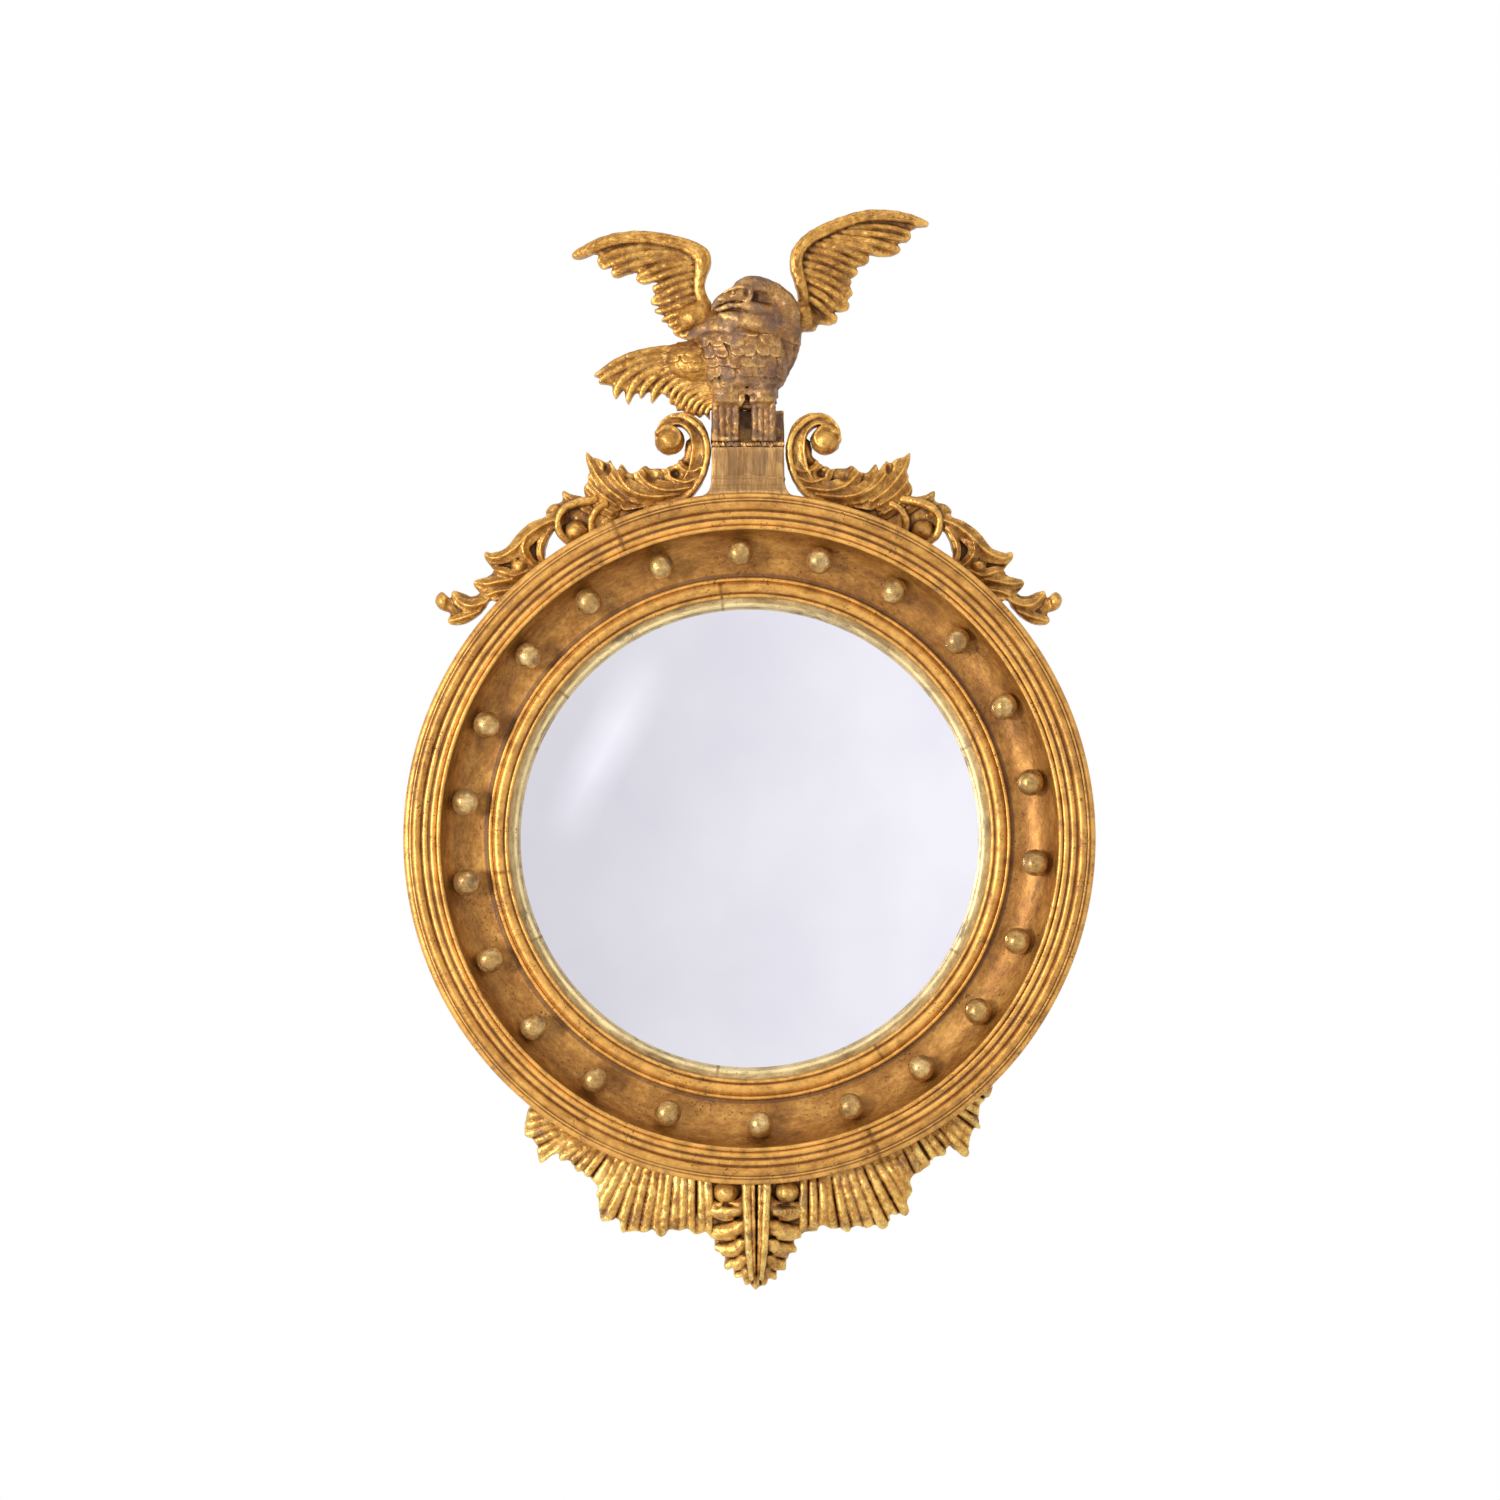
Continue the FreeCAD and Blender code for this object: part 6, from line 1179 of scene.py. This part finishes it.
RIGHT_PLEATS = [
    ((222, -240), (246, -247), 4, 5), ((218, -247), (243, -256), 4, 5),
    ((212, -254), (236, -267), 4, 5), ((208, -260), (233, -277), 4, 5),
    ((203, -266), (234, -289), 4, 5), ((197, -273), (225, -297), 4, 5),
    ((193, -278), (224, -308), 4, 5), ((188, -282), (220, -320), 4, 5),
    ((181, -287), (203, -311), 4, 4.4), ((175, -291), (197, -320), 4, 4.6),
    ((168, -295), (188, -323), 4, 4.6), ((161, -299), (180, -331), 4, 4.6),
    ((154, -303), (172, -337), 4.4, 4.8), ((147, -307), (163, -343), 4.4, 5),
    ((139, -311), (165, -354), 4.6, 6), ((131, -315), (163, -366), 4.6, 6),
    ((123, -318), (161, -380), 4.6, 6.4), ((115, -320), (147, -385), 4.6, 6.4),
    ((107, -323), (137, -395), 4.6, 6), ((99, -326), (123, -394), 4.6, 6),
    ((92, -328), (110, -394), 4.6, 5.8), ((85, -330), (98, -398), 4.4, 5.6),
    ((78, -332), (86, -395), 4.4, 5.4), ((71, -333), (74, -394), 4.2, 5.2),
    ((63, -335), (64, -398), 4.2, 5.2), ((55, -336), (55, -398), 4, 5),
]


def build_fan(name, pleats, low, high, outline, node, seed):
    carving = Carving(low, high, 0.9)
    back, relief = 16.2, 31.6
    inside = carving.sheet(outline, back, relief * 0.66, 4)
    rng = np.random.default_rng(seed)
    for root, tip, root_half, tip_half in pleats:
        inner, outer = np.array(root, float), np.array(tip, float)
        inner = inner - (outer - inner) * 0.12
        along = outer - inner
        bend = np.array([-along[1], along[0]]) * rng.normal(0, 0.014)
        stations = []
        for share, half, height in ((0.0, root_half, 0.86), (0.45, (root_half + tip_half) / 2, 0.97),
                                    (0.8, tip_half, 0.94), (0.94, tip_half, 0.84), (1.0, tip_half, 0.7)):
            point = inner + along * share + bend * math.sin(share * math.pi)
            stations.append((point[0], point[1], half, height * (1 + rng.normal(0, 0.02))))
        carving.stroke(stations, back, relief, "round", 0.8, 0.0)
    carving.trim(inside)
    carving.seat()
    carving.above(back)
    uneven(carving, 4.5, 0.3, seed)
    return carving.finish(name, "gilt_apron_painted_light", node)


PENDANT_OUTLINE = [
    (-40, -326), (-40.4, -395), (-36, -402), (-35, -410), (-34, -414), (-29, -416), (-28, -420),
    (-25, -421), (-25.4, -430), (-22, -433.4), (-17, -431), (-16, -439), (-13, -441.4), (-8, -440),
    (-6, -446), (-3, -448.4), (0, -447), (2, -450), (6, -454.4), (10, -451), (15, -449), (18, -446),
    (20, -441), (25, -443.4), (27.4, -441), (28, -434), (36, -433.4), (37, -424), (39, -422),
    (40, -416), (46, -415), (47.4, -412), (45, -408), (46, -402), (50, -401), (52.4, -395),
    (54, -326)]


def build_pendant():
    carving = Carving((-46, 12, -458), (60, 68, -330), 0.75)
    back, relief, axis = 16.2, 41.6, 7.0
    inside = carving.sheet(PENDANT_OUTLINE, back, relief * 0.42, 5)
    lobes = [
        [(9, -358, 5, 0.74), (15, -368, 8, 0.86), (27, -373.6, 9.6, 0.86), (40, -372, 8.6, 0.78),
         (48, -368, 6, 0.66)],
        [(8, -374, 4.6, 0.74), (13, -386, 8, 0.86), (25, -393.6, 9, 0.82), (38, -395, 7.6, 0.7),
         (47, -394, 5, 0.56)],
        [(7, -390, 4.4, 0.72), (11, -402, 7, 0.82), (20, -410.6, 8, 0.76), (31, -413, 7, 0.64),
         (41, -411, 4.6, 0.52)],
        [(6, -407, 4, 0.68), (9.6, -418, 6.4, 0.76), (16.6, -425.6, 7, 0.68), (25, -428, 6, 0.58),
         (33, -430, 4, 0.5)],
        [(5, -423, 3.6, 0.62), (8, -432, 5.4, 0.68), (13, -437.6, 5.4, 0.6), (21, -440.6, 4, 0.5)],
        [(3, -436, 3.4, 0.56), (6.6, -442.6, 4, 0.58), (10, -447.6, 3, 0.5)],
    ]

    def beside(stations, side):
        return [(axis + side * x, z, half, share) for x, z, half, share in stations]

    for side in (-1, 1):
        for stations in lobes:
            carving.stroke(beside(stations, side), back, relief, "dome", 1.4, 0.0)
    carving.trim(inside)
    for side in (-1, 1):
        for dark_x, dark_z, radius in ((20, -381.6, 8), (17, -400.6, 7), (14, -417.4, 6),
                                       (11, -430.6, 4.6)):
            carving.dig((axis + side * (dark_x - 3), back + relief * 0.86, dark_z + 1.6),
                        (radius * 0.9, relief * 0.24, 2.2), 3.0)
        carving.dig((axis + side * 31, back + relief * 0.9, -367.4), (11, relief * 0.24, 2.2), 3.0)
        carving.ellipsoid((axis + side * 30.5, back + 25, -354), (12.2, 15, 11.4), 0.6)
        carving.stroke(beside([(10.6, -330, 4.8, 0.96), (9.4, -370, 4.4, 1.0), (7.6, -410, 3.8, 0.94),
                               (5, -440, 2.8, 0.76)], side), back, relief, "round", 1.2, 0.3)
        carving.stroke(beside([(3.6, -330, 2.2, 0.9), (3.2, -380, 2.2, 0.92), (2.6, -425, 2.0, 0.8),
                               (1.2, -449, 1.6, 0.58)], side), back, relief, "round", 1.0, 0.3)
    carving.cut(np.abs(carving.coordinates()[0] - axis) - 48.6)
    carving.seat()
    carving.above(back)
    uneven(carving, 4.5, 0.3, 63)
    return carving.finish("pendant_leaf", "gilt_apron_painted_light", "apron_pendant")


build_fan("fan_left", LEFT_PLEATS, (-230, 12, -402), (-36, 54, -258), LEFT_FAN, "apron_left_fan", 61)
build_fan("fan_right", RIGHT_PLEATS, (50, 12, -400), (248, 54, -238), RIGHT_FAN, "apron_right_fan", 62)
build_pendant()


# ---------------------------------------------------------------- pieces that keep their CAD shape

CAD_MATERIALS = {
    "hanger_strap_left": BRASS, "hanger_strap_right": BRASS, "hanger_ring_left": BRASS,
    "hanger_ring_right": BRASS, "crest_strap": IRON, "crest_strap_screws": STEEL,
    "hanger_screws": STEEL, "backboard_screws": STEEL, "backing_board": BOARD, "glass_blocks": BARE,
    "carving_dowels": BARE,
}
for node_name, material in CAD_MATERIALS.items():
    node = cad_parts[node_name]
    node.data.materials.clear()
    node.data.materials.append(material)


# ---------------------------------------------------------------- floor, light and camera

def stage_material(name, shade):
    """A pale matt floor, which keeps the shadows."""
    material, _, shader = new_material(name)
    shader.inputs["Base Color"].default_value = (shade, shade, shade, 1)
    shader.inputs["Roughness"].default_value = 0.9
    return material


floor_mesh = bpy.data.meshes.new("floor")
FLOOR_LEVEL = -0.76
floor_mesh.from_pydata([(-3, -3, FLOOR_LEVEL), (3, -3, FLOOR_LEVEL), (3, 0.5, FLOOR_LEVEL),
                        (-3, 0.5, FLOOR_LEVEL)], [], [(0, 1, 2, 3)])
floor = bpy.data.objects.new("floor", floor_mesh)
floor_mesh.materials.append(stage_material("pale_floor", 0.82))
bpy.context.scene.collection.objects.link(floor)
floor.visible_glossy = False


def area_light(name, place, target, size, power):
    data = bpy.data.lights.new(name, "AREA")
    data.shape = "RECTANGLE"
    data.size, data.size_y = size
    data.energy = power
    lamp = bpy.data.objects.new(name, data)
    lamp.location = place
    direction = np.array(target) - np.array(place)
    lamp.rotation_mode = "QUATERNION"
    lamp.rotation_quaternion = Vector(direction).to_track_quat("-Z", "Y")
    lamp.visible_glossy = name != "fill"
    bpy.context.scene.collection.objects.link(lamp)
    return lamp


area_light("key", (-2.55, -2.95, 0.2), (0, 0, 0.05), (0.5, 0.8), 102)
area_light("fill", (1.6, -4.2, 0.2), (0, 0, 0), (2.4, 2.4), 20)
area_light("top", (0.3, -1.5, 2.7), (0, 0, 0.1), (1.4, 0.9), 7)


def card(name, corners, left, right, soft):
    """A pale card behind the camera that only the glass and the gilding see. Its brightness runs
    from left to right; a soft card fades out towards its edge."""
    mesh = bpy.data.meshes.new(name)
    mesh.from_pydata(corners, [], [(0, 1, 2, 3)])
    layer = mesh.uv_layers.new(name="card")
    for loop, uv in zip(layer.data, ((0, 0), (1, 0), (1, 1), (0, 1))):
        loop.uv = uv
    material = bpy.data.materials.new(name)
    tree = emptied(material)
    output = tree.nodes.new("ShaderNodeOutputMaterial")
    glow = tree.nodes.new("ShaderNodeEmission")
    clear = tree.nodes.new("ShaderNodeBsdfTransparent")
    blend = tree.nodes.new("ShaderNodeMixShader")
    split = tree.nodes.new("ShaderNodeSeparateXYZ")
    tree.links.new(tree.nodes.new("ShaderNodeUVMap").outputs[0], split.inputs[0])
    glow.inputs["Color"].default_value = (0.985, 0.985, 1.0, 1)
    tree.links.new(remap(tree, split.outputs[0], 0.25, 0.75, left, right), glow.inputs["Strength"])
    if soft:
        across = maths(tree, "ABSOLUTE", maths(tree, "SUBTRACT", split.outputs[0], 0.5), 0)
        along = maths(tree, "ABSOLUTE", maths(tree, "SUBTRACT", split.outputs[1], 0.5), 0)
        fade = maths(tree, "MULTIPLY", remap(tree, across, 0.48, 0.0), remap(tree, along, 0.48, 0.1))
        tree.links.new(fade, blend.inputs[0])
    else:
        blend.inputs[0].default_value = 1.0
    tree.links.new(clear.outputs[0], blend.inputs[1])
    tree.links.new(glow.outputs[0], blend.inputs[2])
    tree.links.new(blend.outputs[0], output.inputs[0])
    mesh.materials.append(material)
    sheet = bpy.data.objects.new(name, mesh)
    sheet.visible_camera = False
    sheet.visible_diffuse = False
    sheet.visible_shadow = False
    bpy.context.scene.collection.objects.link(sheet)
    return sheet


card("wide_card", [(-4.2, -5, -4), (4.2, -5, -4), (4.2, -5, 4), (-4.2, -5, 4)], 0.87, 1.09, False)
card("bright_band", [(-2.9, -4.9, 0.1), (-2.2, -4.9, -0.4), (-0.7, -4.9, 2.2), (-1.5, -4.9, 2.8)],
     1.14, 1.14, True)

world = bpy.data.worlds.new("studio")
bpy.context.scene.world = world
tree = emptied(world)
output = tree.nodes.new("ShaderNodeOutputWorld")
room = tree.nodes.new("ShaderNodeBackground")
room.inputs["Color"].default_value = (0.98, 0.985, 1.0, 1)
room.inputs["Strength"].default_value = 0.36
white = tree.nodes.new("ShaderNodeBackground")
white.inputs["Color"].default_value = (1, 1, 1, 1)
white.inputs["Strength"].default_value = 1.0
path = tree.nodes.new("ShaderNodeLightPath")
seen = maths(tree, "MAXIMUM", path.outputs["Is Camera Ray"], path.outputs["Is Transmission Ray"])
seen = maths(tree, "MAXIMUM", seen, path.outputs["Is Glossy Ray"])
pick = tree.nodes.new("ShaderNodeMixShader")
tree.links.new(seen, pick.inputs[0])
tree.links.new(room.outputs[0], pick.inputs[1])
tree.links.new(white.outputs[0], pick.inputs[2])
tree.links.new(pick.outputs[0], output.inputs[0])

scene = bpy.context.scene
scene.view_settings.view_transform = "Standard"
camera_data = bpy.data.cameras.new("camera")
camera = bpy.data.objects.new("camera", camera_data)
scene.collection.objects.link(camera)
CAMERA_DISTANCE = 4.0
camera.location = (0.0005, -CAMERA_DISTANCE - 0.05, 0.0)
camera.rotation_euler = (math.pi / 2, 0, 0)
camera_data.sensor_width = 36
camera_data.sensor_fit = "HORIZONTAL"
camera_data.lens = 36 * CAMERA_DISTANCE / 1.5
camera_data.shift_y = 88.5 / 1500
scene.camera = camera
